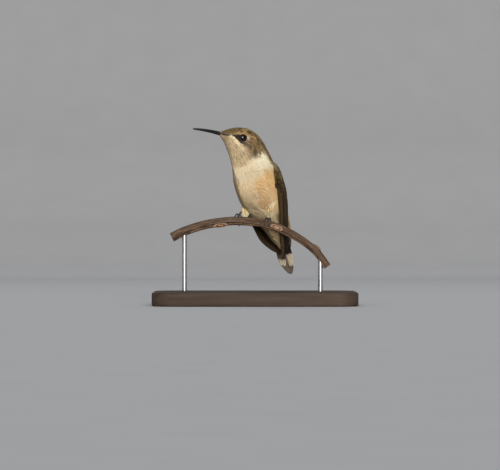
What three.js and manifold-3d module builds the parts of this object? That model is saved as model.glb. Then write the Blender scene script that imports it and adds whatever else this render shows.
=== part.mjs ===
// A perched hummingbird, life size, on a short length of twig held by a plain display stand.
// Millimetres, +Z up. The origin is the middle of the stand's underside, and +X runs along the twig.
// The bird's own frame has +X forward, +Y to its left and +Z up, with z = 0 just above the twig.
import * as THREE from 'three';
import { LoftGeometry } from 'three/addons/geometries/LoftGeometry.js';
import { mergeVertices } from 'three/addons/utils/BufferGeometryUtils.js';
import Module from 'manifold-3d';

const rad = THREE.MathUtils.degToRad;
const wasm = await Module();
wasm.setup();

// ---------------------------------------------------------------- driving dimensions

const PERCH_HEIGHT = 44; // floor to the bird's z = 0
const BODY_HEADING = rad(35); // from -Y towards -X
const HEAD_TURN = rad(24); // the head looks this much further to the bird's right
const NECK_PIVOT = 6; // forward distance of the axis that the head turns about
const GAP = 0.3; // clearance between neighbouring pieces

// The feathered outline, from the root of the bill to the end of the tail coverts. Each row is one
// cross-section: forward and up of its back edge, forward and up of its belly edge, half width, and
// how far the widest line lies from the middle towards the belly.
const BODY = [
  [22.6, 44.0, 22.5, 42.0, 1.3, 0.1], // root of the bill
  [19.6, 45.0, 20.6, 39.9, 2.8, 0.1], // forehead and chin
  [16.2, 45.9, 18.8, 37.7, 4.5, 0.1], // lores
  [12.0, 46.5, 17.4, 35.2, 5.9, 0.1], // eye
  [6.8, 46.1, 16.4, 32.8, 6.9, 0.12], // crown
  [2.0, 43.8, 15.5, 30.5, 7.6, 0.1], // hind crown
  [-1.6, 40.0, 14.8, 28.0, 8.2, 0.05], // nape
  [-4.4, 35.4, 14.1, 25.0, 9.2, -0.03], // neck
  [-8.2, 29.8, 13.2, 21.2, 10.3, -0.08], // shoulders
  [-12.2, 23.2, 11.9, 16.8, 10.9, -0.08], // breast
  [-16.6, 16.0, 9.5, 12.0, 10.8, -0.06], // middle of the trunk
  [-20.8, 8.6, 6.0, 7.1, 10.2, -0.03], // belly
  [-25.1, 1.8, 1.0, 2.8, 8.9, 0], // lower belly
  [-28.0, -4.2, -6.4, -1.8, 7.2, 0], // vent
  [-29.7, -9.0, -13.2, -6.8, 5.6, 0], // root of the tail
  [-30.2, -12.9, -18.6, -11.6, 4.3, 0], // middle of the coverts
  [-29.8, -16.4, -23.8, -15.8, 2.8, 0], // end of the coverts
];
const BODY_ROWS = BODY.length - 1;
const NAPE = 6 / BODY_ROWS;
const SHOULDERS = 9 / BODY_ROWS;
const BODY_SIDES = 24;
const BODY_LENGTH = 90; // along the rows, for turning a gap into a share of them
// Cross-sections of each length of body, and of the whole of it.
const BODY_RINGS = { head: 14, neck: 5, trunk: 10, rump: 8, whole: 36 };
// Rows at which the head, neck and trunk end.
const BODY_ENDS = { head: 5.9, neck: 8.2, trunk: 12.4 };

const EYE = { radius: 2.0, forward: 12.0, side: 4.75, up: 40.95, columns: 14, rows: 10 };

// Rows from root to tip: forward, up, half width, half height. The bill bends down a little.
const BILL = [
  [22.9, 43.15, 1.1, 0.98],
  [25.0, 43.55, 0.98, 0.9],
  [28.2, 44.15, 0.82, 0.76],
  [33.2, 44.8, 0.62, 0.58],
  [37.0, 45.12, 0.45, 0.42],
  [38.4, 45.18, 0.28, 0.28],
];
const BILL_SLIT = 0.12;
const BILL_RINGS = 10;
const BILL_SIDES = 6;

// The folded wings, from the wrist down: the leading edge lies against the flank and the trailing edge
// over the back. Each row: forward, outward and up of the lead edge, the same of the trail edge, outward
// bulge between them, thickness. Both wings share the upper rows.
const WING = [
  [-2.6, 8.9, 28.0, -5.6, 8.0, 29.4, 0.3, 1.0],
  [-1.6, 11.0, 24.2, -7.6, 8.6, 26.4, 0.9, 1.8],
  [-2.2, 11.7, 19.6, -10.9, 8.4, 21.4, 1.2, 2.1],
  [-3.8, 11.7, 14.2, -14.2, 8.3, 15.0, 1.5, 2.2],
  [-5.6, 11.1, 8.2, -16.2, 8.3, 8.4, 1.3, 1.9],
  [-7.8, 10.2, 1.8, -16.9, 8.3, 1.8, 0.9, 1.7],
];
// The left wing hangs beside the tail, and the right one crosses under it.
const WING_ENDS = {
  left: [
    [-10.0, 8.5, -4.8, -18.1, 7.8, -4.2, 0.8, 1.5],
    [-11.0, 7.75, -11.0, -20.4, 7.0, -10.5, 0.6, 1.2],
    [-12.6, 7.3, -16.5, -19.6, 6.5, -16.0, 0.3, 1.0],
    [-15.0, 6.75, -20.9, -15.9, 6.6, -20.6, 0.05, 0.7],
  ],
  right: [
    [-9.8, 7.4, -5.2, -18.9, 5.6, -4.7, 0.9, 1.5],
    [-12.3, 5.2, -11.3, -20.4, 3.8, -9.9, 0.6, 1.2],
    [-17.2, 2.6, -15.6, -22.6, 1.5, -14.0, 0.3, 1.0],
    [-23.2, 0.1, -18.3, -23.8, 0.05, -17.9, 0.05, 0.7],
  ],
};
const WING_EDGE = 0.45; // thickness at the edges, as a share of the thickness in the middle
const WING_SIDES = 6;
const WING_RINGS = { coverts: 7, quills: 10, room: 16 };
const COVERT_END = 0.42; // where the coverts end and the quills begin
const COVERT_GAP = 0.008;

const TAIL_ROOT = new THREE.Vector3(-21.9, 0.0, -2.5);
const TAIL_PITCH = rad(68); // below the horizontal
// A tail feather: thickness, step to the one below it, turn and shift from its neighbour, half width,
// how it widens from its root, and where and how sharply it narrows to its blunt end.
const TAIL_FEATHER = {
  thick: 0.5,
  layer: 0.32,
  spread: rad(1.0),
  apart: 0.3,
  half: 2.4,
  root: 0.45,
  widening: 1.1,
  shoulder: 0.6,
  end: 1.004,
  taper: 2.2,
  rings: 7,
};
const TAIL_LENGTHS = [28.0, 27.2, 26.0, 24.4, 22.8]; // central pair to outer pair

// Middle line of the twig, left to right as seen from the front: x, y, z above the perch line, radius.
const TWIG = [
  [-42.4, 0.6, -9.4, 2.45],
  [-36.0, 0.5, -6.2, 2.4],
  [-27.0, 0.2, -3.3, 2.35],
  [-18.0, 0.0, -1.6, 2.35],
  [-9.0, 0.0, -1.0, 2.3],
  [0.0, 0.0, -1.6, 2.25],
  [9.0, 0.0, -3.5, 2.2],
  [18.0, 0.1, -7.3, 2.1],
  [26.0, 0.3, -12.3, 2.0],
  [32.0, 0.5, -17.6, 2.0],
  [37.0, 0.7, -24.2, 2.0],
];
// Old leaf scars: place along the twig, angle round it (0 is towards -Y, 90 is up), height, length,
// half angle.
const SCARS = [
  { at: 0.309, angle: rad(-38), high: 0.75, long: 4.6, half: rad(48) },
  { at: 0.622, angle: rad(-2), high: 0.6, long: 4.4, half: rad(52) },
  { at: 0.872, angle: rad(78), high: 1.25, long: 3.6, half: rad(50) },
];
const TWIG_SIDES = 14;
const TWIG_RINGS = 38;
const TWIG_LENGTH = 95; // measured along it

const TOE_RADIUS = 0.42;
const TOE_TAPER = 0.03; // loss of radius at each step of a toe
const CLAW_RADII = [0.3, 0.29, 0.25, 0.19, 0.12];
const CLAW_START = rad(7); // clearance between a toe and its claw, round the twig
const SHANK_RADII = [0.62, 0.5, 0.46, 0.5, 0.6];
const LEG_ROOM = 0.9; // radius of the way through the thigh feathers
const KNUCKLE = 0.55; // how far a toe arches off the bark
const ANKLE = rad(106); // where the toes meet, round the twig: 0 is its front and 90 its top
// Front toes: travel along the twig, and how much further round the twig each one reaches.
const FRONT_TOES = [
  { name: 'inner', shift: -2.1, further: rad(-10) },
  { name: 'middle', shift: 0, further: 0 },
  { name: 'outer', shift: 2.1, further: rad(-7) },
];
// Each foot: place along the twig, lean of its toes along it, ends of its toes and claws, its hock.
const FEET = {
  left: { at: 0.58, lean: -2.6, toe: rad(18), claw: rad(-20), hock: new THREE.Vector3(5.4, 4.2, 5.4) },
  right: { at: 0.406, lean: -0.2, toe: rad(60), claw: rad(30), hock: new THREE.Vector3(-5.6, 3.9, 5.4) },
};
const HIND_TOE = { name: 'hind', shift: 0.6, toe: rad(208), claw: rad(262) };

// Trousers of pale feathers: top in the bird's frame, bottom near the foot, radius at the top.
const THIGHS = {
  left: { top: new THREE.Vector3(-0.6, 8.2, 8.6), foot: new THREE.Vector3(-4.6, 5.2, 1.4), wide: 2.7 },
  right: { top: new THREE.Vector3(0.6, -5.2, 7.0), foot: new THREE.Vector3(1.2, -5.2, 1.9), wide: 2.6 },
};

const THIGH_TAPER = rad(68); // the radius falls as the cosine of an angle that grows to this

const BASE = { wide: 104, deep: 64, high: 7, corner: 10, edge: 1 };
const ROD_RADIUS = 1.25;
const RODS = { left: { at: 0.1 }, right: { at: 0.925 } };
const ROD_PLUG = 1.3; // how far each rod enters the twig

// ---------------------------------------------------------------- helpers

/** Smooth (Catmull-Rom) value between rows of numbers, with t from 0 at the first to 1 at the last. */
function along(rows, t) {
  const last = rows.length - 1;
  const place = THREE.MathUtils.clamp(t, 0, 1) * last;
  const i = Math.min(Math.floor(place), last - 1);
  const w = place - i;
  return rows[i].map((start, k) => {
    const end = rows[i + 1][k];
    const before = i > 0 ? rows[i - 1][k] : 2 * start - end;
    const after = i + 2 <= last ? rows[i + 2][k] : 2 * end - start;
    const leave = (end - before) / 2;
    const arrive = (after - start) / 2;
    const cubic = 2 * (start - end) + leave + arrive;
    const square = 3 * (end - start) - 2 * leave - arrive;
    return ((cubic * w + square) * w + leave) * w + start;
  });
}

/** A point of the unturned bird carried with the head: share is 1 on the head and 0 on the trunk. */
function turned(point, share) {
  const angle = -HEAD_TURN * share;
  const x = point.x - NECK_PIVOT;
  return new THREE.Vector3(
    NECK_PIVOT + x * Math.cos(angle) - point.y * Math.sin(angle),
    x * Math.sin(angle) + point.y * Math.cos(angle),
    point.z,
  );
}

/** A geometry as a manifold-3d solid. */
function solid(geometry) {
  const bare = new THREE.BufferGeometry().setAttribute('position', geometry.getAttribute('position'));
  if (geometry.index) bare.setIndex(geometry.index);
  const merged = mergeVertices(bare);
  const mesh = new wasm.Mesh({
    numProp: 3,
    vertProperties: Float32Array.from(merged.attributes.position.array),
    triVerts: Uint32Array.from(merged.index.array),
  });
  return new wasm.Manifold(mesh);
}

/** A manifold-3d solid as a geometry. */
function geometryOf(made) {
  const mesh = made.getMesh();
  const position = new THREE.BufferAttribute(Float32Array.from(mesh.vertProperties), mesh.numProp);
  const geometry = new THREE.BufferGeometry().setAttribute('position', position);
  geometry.setIndex(new THREE.BufferAttribute(Uint32Array.from(mesh.triVerts), 1));
  geometry.computeVertexNormals();
  return geometry;
}

/** A closed solid through a list of cross-sections, whichever way round their points run. */
function loft(sections) {
  const middle = (ring) => {
    return ring.reduce((sum, p) => sum.add(p), new THREE.Vector3()).divideScalar(ring.length);
  };
  const centre = middle(sections[0]);
  const facing = new THREE.Vector3();
  sections[0].forEach((p, i) => {
    const next = sections[0][(i + 1) % sections[0].length];
    facing.add(p.clone().sub(centre).cross(next.clone().sub(centre)));
  });
  const ahead = middle(sections[1]).sub(centre);
  const rings = facing.dot(ahead) > 0 ? sections : sections.map((ring) => [...ring].reverse());
  return solid(new LoftGeometry(rings, { capStart: true, capEnd: true }));
}

/** A round bar along a list of points, with one radius for each point. */
function bar(points, radii, sides = 8) {
  const sections = points.map((point, i) => {
    const ahead = points[Math.min(i + 1, points.length - 1)];
    const behind = points[Math.max(i - 1, 0)];
    const run = ahead.clone().sub(behind).normalize();
    const side = new THREE.Vector3(0, 1, 0).cross(run).normalize();
    const over = run.clone().cross(side);
    return Array.from({ length: sides }, (_, k) => {
      const angle = (2 * Math.PI * k) / sides;
      return point
        .clone()
        .addScaledVector(side, radii[i] * Math.cos(angle))
        .addScaledVector(over, radii[i] * Math.sin(angle));
    });
  });
  return loft(sections);
}

const steps = (count) => Array.from({ length: count + 1 }, (_, i) => i / count);

// ---------------------------------------------------------------- head, neck and trunk

/** One cross-section of the feathered body at u, from 0 at the bill to 1 at the tail coverts. */
function bodySection(u, grown = 0) {
  const [backX, backZ, bellyX, bellyZ, half, low] = along(BODY, u);
  const up = new THREE.Vector3(backX - bellyX, 0, backZ - bellyZ);
  const depth = up.length() / 2;
  up.normalize();
  const middle = new THREE.Vector3((backX + bellyX) / 2, 0, (backZ + bellyZ) / 2);
  const share = 1 - THREE.MathUtils.smoothstep(u, NAPE, SHOULDERS);
  return Array.from({ length: BODY_SIDES }, (_, k) => {
    const angle = (-2 * Math.PI * k) / BODY_SIDES;
    const point = middle.clone().addScaledVector(up, (depth + grown) * Math.cos(angle));
    point.y = (half + grown) * Math.sin(angle) * (1 - low * Math.cos(angle));
    return turned(point, share);
  });
}

/** The length of body between two places, with every side moved out by `grown`. */
function bodyLength(from, to, rings, grown = 0) {
  return loft(steps(rings).map((t) => bodySection(from + (to - from) * t, grown)));
}

// ---------------------------------------------------------------- eyes

function eyeCentre(side) {
  return turned(new THREE.Vector3(EYE.forward, side * EYE.side, EYE.up), 1);
}

function eyeBall(side, grown = 0) {
  const centre = eyeCentre(side);
  const ball = new THREE.SphereGeometry(EYE.radius + grown, EYE.columns, EYE.rows);
  return solid(ball.translate(centre.x, centre.y, centre.z));
}

// ---------------------------------------------------------------- bill

/** One half of the bill: over is 1 for the upper mandible and -1 for the lower one. */
function mandible(over) {
  const sections = steps(BILL_RINGS).map((t) => {
    const [x, z, half, high] = along(BILL, t);
    return steps(BILL_SIDES).map((k) => {
      const up = z + over * (BILL_SLIT / 2 + high * Math.sin(Math.PI * k));
      return turned(new THREE.Vector3(x, half * Math.cos(Math.PI * k), up), 1);
    });
  });
  return loft(sections);
}

// ---------------------------------------------------------------- wings

/** A wing's cross-section at s, from 0 at the wrist to 1 at the tip. */
function wingSection(side, s, grown = 0) {
  const rows = [...WING, ...WING_ENDS[side < 0 ? 'right' : 'left']];
  const [leadX, leadY, leadZ, trailX, trailY, trailZ, bulge, thick] = along(rows, s);
  const lead = new THREE.Vector3(leadX, leadY, leadZ);
  const chord = new THREE.Vector3(trailX, trailY, trailZ).sub(lead);
  const out = new THREE.Vector3(0, 1, 0).addScaledVector(chord, -chord.y / chord.lengthSq()).normalize();
  const point = (share, inward) => {
    const reach = grown ? (share - 0.5) * (1 + (2 * grown) / chord.length()) + 0.5 : share;
    const wall = (thick / 2) * (WING_EDGE + (1 - WING_EDGE) * Math.sin(Math.PI * share)) + grown;
    const p = lead
      .clone()
      .addScaledVector(chord, reach)
      .addScaledVector(out, bulge * 4 * share * (1 - share) + (inward ? -wall : wall));
    return new THREE.Vector3(p.x, side * p.y, p.z);
  };
  const outer = steps(WING_SIDES).map((share) => point(share, false));
  const inner = steps(WING_SIDES).map((share) => point(1 - share, true));
  return [...outer, ...inner];
}

function wingLength(side, from, to, rings, grown = 0) {
  return loft(steps(rings).map((t) => wingSection(side, from + (to - from) * t, grown)));
}

// ---------------------------------------------------------------- tail

/** One tail feather as a flat blade: rank 0 is the central pair, side 1 is the bird's left. */
function tailFeather(rank, side) {
  const length = TAIL_LENGTHS[rank];
  const { thick, layer, spread, apart, half, root, widening, shoulder, end, taper, rings } = TAIL_FEATHER;
  const away = new THREE.Vector3(-Math.cos(TAIL_PITCH), 0, -Math.sin(TAIL_PITCH));
  const dorsal = new THREE.Vector3(-Math.sin(TAIL_PITCH), 0, Math.cos(TAIL_PITCH));
  const turn = side * spread * (rank + 0.5);
  const run = away.clone().multiplyScalar(Math.cos(turn)).add(new THREE.Vector3(0, Math.sin(turn), 0));
  const across = new THREE.Vector3().crossVectors(dorsal, run);
  const sections = steps(rings).map((t) => {
    const narrowing = THREE.MathUtils.clamp((t - shoulder) / (end - shoulder), 0, 1);
    const width = half * Math.min(root + widening * t, 1) * Math.sqrt(1 - narrowing ** taper);
    const at = TAIL_ROOT.clone()
      .addScaledVector(run, length * t)
      .addScaledVector(across, -side * apart * (rank + 0.5))
      .addScaledVector(dorsal, -layer * rank);
    const corner = (a, d) => {
      return at.clone().addScaledVector(across, a * width).addScaledVector(dorsal, (d * thick) / 2);
    };
    return [corner(1, -1), corner(1, 1), corner(-1, 1), corner(-1, -1)];
  });
  return loft(sections);
}

function tailFan() {
  const blades = TAIL_LENGTHS.flatMap((_, rank) => [tailFeather(rank, 1), tailFeather(rank, -1)]);
  return blades.reduce((all, blade) => all.add(blade));
}

// ---------------------------------------------------------------- twig

/** Centre, direction and radius of the twig at t. */
function twigAt(t) {
  const [x, y, z, radius] = along(TWIG, t);
  const [x1, y1, z1] = along(TWIG, Math.min(t + 0.01, 1));
  const [x0, y0, z0] = along(TWIG, Math.max(t - 0.01, 0));
  const run = new THREE.Vector3(x1 - x0, y1 - y0, z1 - z0).normalize();
  return { centre: new THREE.Vector3(x, y, z + PERCH_HEIGHT), run, radius };
}

function twigSection(t) {
  const { centre, run, radius } = twigAt(t);
  const front = new THREE.Vector3(0, -1, 0).addScaledVector(run, run.y).normalize();
  const top = new THREE.Vector3().crossVectors(front, run);
  return Array.from({ length: TWIG_SIDES }, (_, k) => {
    const angle = (2 * Math.PI * k) / TWIG_SIDES;
    const swell = SCARS.reduce((sum, scar) => {
      const off = (t - scar.at) * TWIG_LENGTH;
      let turn = angle - scar.angle;
      turn = Math.atan2(Math.sin(turn), Math.cos(turn));
      const near = Math.hypot(off / scar.long, turn / scar.half);
      return sum + (near < 1 ? scar.high * (1 - near ** 2) ** 2 : 0);
    }, 0);
    return centre
      .clone()
      .addScaledVector(front, (radius + swell) * Math.cos(angle))
      .addScaledVector(top, (radius + swell) * Math.sin(angle));
  });
}

// ---------------------------------------------------------------- legs and claws

/** All four toes of a foot, each with the angles round the twig at which it and its claw end. */
function toesOf(foot) {
  const front = FRONT_TOES.map(({ name, shift, further }) => {
    return { name, shift: shift + foot.lean, toe: foot.toe - further, claw: foot.claw - further };
  });
  return [...front, HIND_TOE];
}

/** A point on the skin of the twig: angle 0 is the front and 90 the top, shift runs along the twig. */
function onTwig(foot, angle, shift, lift) {
  const { centre, run, radius } = twigAt(foot.at + shift / TWIG_LENGTH);
  const front = new THREE.Vector3(0, -1, 0).addScaledVector(run, run.y).normalize();
  const top = new THREE.Vector3().crossVectors(front, run);
  const reach = radius + GAP / 2 + lift;
  centre.addScaledVector(front, reach * Math.cos(angle));
  return centre.addScaledVector(top, reach * Math.sin(angle));
}

/** Points of a toe, or of its claw where the angles run past the toe's end. */
function toePath(foot, toe, from, to, count, lift) {
  return steps(count).map((t) => {
    const angle = from + (to - from) * t;
    const travelled = (angle - ANKLE) / (toe.claw - ANKLE);
    const knuckle = KNUCKLE * Math.sin(Math.PI * Math.min(travelled * 1.5, 1));
    return onTwig(foot, angle, toe.shift * travelled ** 0.8, lift + knuckle);
  });
}

function legSolid(foot) {
  const toes = toesOf(foot).map((toe) => {
    const path = toePath(foot, toe, ANKLE, toe.toe, 6, TOE_RADIUS);
    return bar(path, path.map((_, i) => TOE_RADIUS * (1 - TOE_TAPER * i)), 7);
  });
  const sole = onTwig(foot, ANKLE, 0, TOE_RADIUS);
  const shank = SHANK_RADII.map((_, i) => sole.clone().lerp(foot.hock, i / (SHANK_RADII.length - 1)));
  return toes.reduce((all, toe) => all.add(toe), bar(shank, SHANK_RADII));
}

function clawSolid(foot, toe) {
  const start = toe.toe + Math.sign(toe.claw - toe.toe) * CLAW_START;
  const path = toePath(foot, toe, start, toe.claw, CLAW_RADII.length - 1, CLAW_RADII[0]);
  return bar(path, CLAW_RADII, 6);
}

// ---------------------------------------------------------------- thigh feathers

function thighSolid(thigh) {
  const path = steps(6).map((t) => thigh.top.clone().lerp(thigh.foot, t));
  return bar(path, path.map((_, i) => thigh.wide * Math.cos((i / 6) * THIGH_TAPER) ** 0.8), 10);
}

// ---------------------------------------------------------------- stand

function baseGeometry() {
  const { wide, deep, high, corner, edge } = BASE;
  const x = wide / 2 - edge;
  const y = deep / 2 - edge;
  const outline = new THREE.Shape();
  outline.absarc(x - corner, -y + corner, corner, -Math.PI / 2, 0);
  outline.absarc(x - corner, y - corner, corner, 0, Math.PI / 2);
  outline.absarc(-x + corner, y - corner, corner, Math.PI / 2, Math.PI);
  outline.absarc(-x + corner, -y + corner, corner, Math.PI, 1.5 * Math.PI);
  const bevel = { bevelThickness: edge, bevelSize: edge, bevelSegments: 2 };
  const slab = { depth: high - 2 * edge, curveSegments: 4, ...bevel };
  return new THREE.ExtrudeGeometry(outline, slab).translate(0, 0, edge);
}

function rodSolid(rod, grown = 0) {
  const { centre, radius } = twigAt(rod.at);
  const top = centre.z - radius + ROD_PLUG + grown;
  const high = top - BASE.high;
  const shape = new THREE.CylinderGeometry(ROD_RADIUS + grown, ROD_RADIUS + grown, high, 16);
  return solid(shape.rotateX(Math.PI / 2).translate(centre.x, centre.y, BASE.high + high / 2));
}

// ---------------------------------------------------------------- materials and assembly

function finish(color, roughness, metalness = 0) {
  return new THREE.MeshStandardMaterial({ color, roughness, metalness });
}

const LOOKS = {
  crown: finish(0x8a7450, 0.8),
  throat: finish(0xcdb48a, 0.9),
  breast: finish(0xd8bd8c, 0.9),
  rump: finish(0x9c8458, 0.85),
  thigh: finish(0xe6d8b8, 0.9),
  quill: finish(0x3a2c20, 0.6),
  covert: finish(0x5d5a30, 0.6),
  tail: finish(0x7d7566, 0.6),
  bill: finish(0x17130f, 0.4),
  eye: finish(0x0a0706, 0.1),
  foot: finish(0x3b332d, 0.7),
  bark: finish(0x6e5a4c, 0.9),
  plinth: finish(0x2a2522, 0.5),
  rod: finish(0xb9b9b6, 0.3, 1),
};

const birdTurn = -(Math.PI / 2 + BODY_HEADING);
const bird = new THREE.Group();
bird.position.z = PERCH_HEIGHT;
bird.rotation.z = birdTurn;
const stand = new THREE.Group();

function piece(group, name, made, look) {
  const mesh = new THREE.Mesh(made.isBufferGeometry ? made : geometryOf(made), LOOKS[look]);
  mesh.name = name;
  group.add(mesh);
  return mesh;
}

const sides = { left: 1, right: -1 };
const bodyRow = (row) => row / BODY_ROWS;
const cutGap = GAP / BODY_LENGTH;

// Body lengths, cut by the eyes and by the wings that press into the flanks.
const headEnd = bodyRow(BODY_ENDS.head);
const neckEnd = bodyRow(BODY_ENDS.neck);
const trunkEnd = bodyRow(BODY_ENDS.trunk);
const sockets = Object.values(sides).map((side) => eyeBall(side, GAP));
const wingRoom = Object.values(sides).map((side) => wingLength(side, 0, 1, WING_RINGS.room, GAP));
const less = (made, cutters) => cutters.reduce((left, cutter) => left.subtract(cutter), made);
const fan = tailFan();
const wholeBody = bodyLength(0, 1, BODY_RINGS.whole, GAP);

const head = bodyLength(0, headEnd - cutGap, BODY_RINGS.head);
const neck = bodyLength(headEnd + cutGap, neckEnd - cutGap, BODY_RINGS.neck);
const trunk = bodyLength(neckEnd + cutGap, trunkEnd - cutGap, BODY_RINGS.trunk);
const rump = bodyLength(trunkEnd + cutGap, 1, BODY_RINGS.rump);
piece(bird, 'head', less(head, sockets), 'crown');
piece(bird, 'neck', less(neck, wingRoom), 'throat');
piece(bird, 'trunk', less(trunk, wingRoom), 'breast');
piece(bird, 'rump', less(rump, wingRoom), 'rump');
piece(bird, 'tail', fan.subtract(wholeBody), 'tail');
piece(bird, 'bill_upper', mandible(1), 'bill');
piece(bird, 'bill_lower', mandible(-1), 'bill');

for (const [name, side] of Object.entries(sides)) {
  piece(bird, `eye_${name}`, eyeBall(side), 'eye');
  const coverts = wingLength(side, 0, COVERT_END, WING_RINGS.coverts);
  const quills = wingLength(side, COVERT_END + COVERT_GAP, 1, WING_RINGS.quills);
  piece(bird, `wing_${name}_coverts`, coverts, 'covert');
  piece(bird, `wing_${name}_quills`, quills, 'quill');
}

// The bird's frame seen from the stand's frame, for pieces made beside the twig.
bird.updateMatrixWorld(true);
const hockToWorld = (hock) => hock.clone().setZ(hock.z + PERCH_HEIGHT);
const wholeBodyWorld = wholeBody.transform(bird.matrixWorld.elements);

for (const [name, side] of Object.entries(sides)) {
  const foot = { ...FEET[name], hock: hockToWorld(FEET[name].hock) };
  const leg = legSolid(foot);
  const sole = onTwig(foot, ANKLE, 0, TOE_RADIUS);
  const legRoom = [-0.1, 0.4, 0.9].map((t) => foot.hock.clone().lerp(sole, t));
  const thigh = thighSolid(THIGHS[name]).subtract(wholeBody).transform(bird.matrixWorld.elements);
  piece(stand, `leg_${name}`, leg.subtract(wholeBodyWorld), 'foot');
  piece(stand, `thigh_${name}`, thigh.subtract(bar(legRoom, legRoom.map(() => LEG_ROOM))), 'thigh');
  for (const toe of toesOf(foot)) piece(stand, `claw_${name}_${toe.name}`, clawSolid(foot, toe), 'bill');
}

const twig = loft(steps(TWIG_RINGS).map(twigSection));
piece(stand, 'perch', less(twig, Object.values(RODS).map((rod) => rodSolid(rod, GAP / 2))), 'bark');
piece(stand, 'stand_base', baseGeometry(), 'plinth');
for (const [name, rod] of Object.entries(RODS)) piece(stand, `stand_rod_${name}`, rodSolid(rod), 'rod');

const model = new THREE.Group();
model.add(bird, stand);
export default model;
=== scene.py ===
"""A life-size perched hummingbird on a display stand: one skin, solid feathers, a barked twig and a base.

Shapes are surfaces of two parameters, worked out as whole arrays in millimetres and written to meshes in
metres. The bird's own frame has +X forward, +Y to its left and +Z up, with its origin on the perch line.
"""

import math

import bpy
import numpy as np
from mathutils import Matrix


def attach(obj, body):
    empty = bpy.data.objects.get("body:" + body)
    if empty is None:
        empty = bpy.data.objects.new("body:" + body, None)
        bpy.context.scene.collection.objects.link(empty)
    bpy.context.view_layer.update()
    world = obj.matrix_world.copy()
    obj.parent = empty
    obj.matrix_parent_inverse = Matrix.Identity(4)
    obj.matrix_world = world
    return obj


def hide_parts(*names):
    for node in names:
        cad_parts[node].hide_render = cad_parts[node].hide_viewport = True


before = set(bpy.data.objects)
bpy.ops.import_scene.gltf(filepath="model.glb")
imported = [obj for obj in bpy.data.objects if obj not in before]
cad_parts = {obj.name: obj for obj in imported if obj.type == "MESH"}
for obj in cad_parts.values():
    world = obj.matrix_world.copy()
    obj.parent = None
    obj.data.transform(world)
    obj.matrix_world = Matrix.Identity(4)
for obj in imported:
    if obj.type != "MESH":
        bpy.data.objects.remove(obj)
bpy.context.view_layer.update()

bl_info = {
    "name": "Perched hummingbird",
    "version": (1, 0, 0),
    "blender": (4, 5, 0),
    "location": "View3D > Sidebar > Bird",
    "description": "Dresses the packed frame of a perched hummingbird in skin, feathers and bark",
    "category": "Object",
}

# ---------------------------------------------------------------- sizes shared with the solids

MM = 0.001
PERCH_HEIGHT = 44.0
BIRD_TURN = math.radians(-125)  # its forward runs to the front and to the left end of the stand
HEAD_TURN = math.radians(24)
NECK_PIVOT = 6.0
INSIDE = 0.985  # share of a solid's breadth that the piece in its place takes up

# The feathered outline, from the root of the bill to the end of the tail coverts: forward and up of the
# back edge, the same of the belly edge, half width, and how far the widest line lies towards the belly.
BODY = np.array([
    [22.6, 44.0, 22.5, 42.0, 1.3, 0.1],
    [19.6, 45.0, 20.6, 39.9, 2.8, 0.1],
    [16.2, 45.9, 18.8, 37.7, 4.5, 0.1],
    [12.0, 46.5, 17.4, 35.2, 5.9, 0.1],
    [6.8, 46.1, 16.4, 32.8, 6.9, 0.12],
    [2.0, 43.8, 15.5, 30.5, 7.6, 0.1],
    [-1.6, 40.0, 14.8, 28.0, 8.2, 0.05],
    [-4.4, 35.4, 14.1, 25.0, 9.2, -0.03],
    [-8.2, 29.8, 13.2, 21.2, 10.3, -0.08],
    [-12.2, 23.2, 11.9, 16.8, 10.9, -0.08],
    [-16.6, 16.0, 9.5, 12.0, 10.8, -0.06],
    [-20.8, 8.6, 6.0, 7.1, 10.2, -0.03],
    [-25.1, 1.8, 1.0, 2.8, 8.9, 0],
    [-28.0, -4.2, -6.4, -1.8, 7.2, 0],
    [-29.7, -9.0, -13.2, -6.8, 5.6, 0],
    [-30.2, -12.9, -18.6, -11.6, 4.3, 0],
    [-29.8, -16.4, -23.8, -15.8, 2.8, 0],
])
BODY_ROWS = len(BODY) - 1
BODY_LENGTH = 90.0
HEAD_END = 6 / BODY_ROWS
TURN_END = 9 / BODY_ROWS

EYE_RADIUS = 2.0
EYE_PLACE = (12.0, 4.75, 40.95)
CORNEA = 2.7
LID_RADIUS = 1.6
EYE_SEAT = math.sqrt(EYE_RADIUS ** 2 - LID_RADIUS ** 2)  # height of the lids over the middle of the eye

# Rows of the bill from root to tip: forward, up, half width, half height.
BILL = np.array([
    [22.9, 43.15, 1.1, 0.98],
    [25.0, 43.55, 0.98, 0.9],
    [28.2, 44.15, 0.82, 0.76],
    [33.2, 44.8, 0.62, 0.58],
    [37.0, 45.12, 0.45, 0.42],
    [38.4, 45.18, 0.28, 0.28],
])
BILL_SLIT = 0.12

# Rows of the folded wings, from the wrist down: lead edge, trail edge (forward, outward, up of each),
# bulge, thickness. Both wings share the upper rows.
WING = [
    [-2.6, 8.9, 28.0, -5.6, 8.0, 29.4, 0.3, 1.0],
    [-1.6, 11.0, 24.2, -7.6, 8.6, 26.4, 0.9, 1.8],
    [-2.2, 11.7, 19.6, -10.9, 8.4, 21.4, 1.2, 2.1],
    [-3.8, 11.7, 14.2, -14.2, 8.3, 15.0, 1.5, 2.2],
    [-5.6, 11.1, 8.2, -16.2, 8.3, 8.4, 1.3, 1.9],
    [-7.8, 10.2, 1.8, -16.9, 8.3, 1.8, 0.9, 1.7],
]
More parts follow.
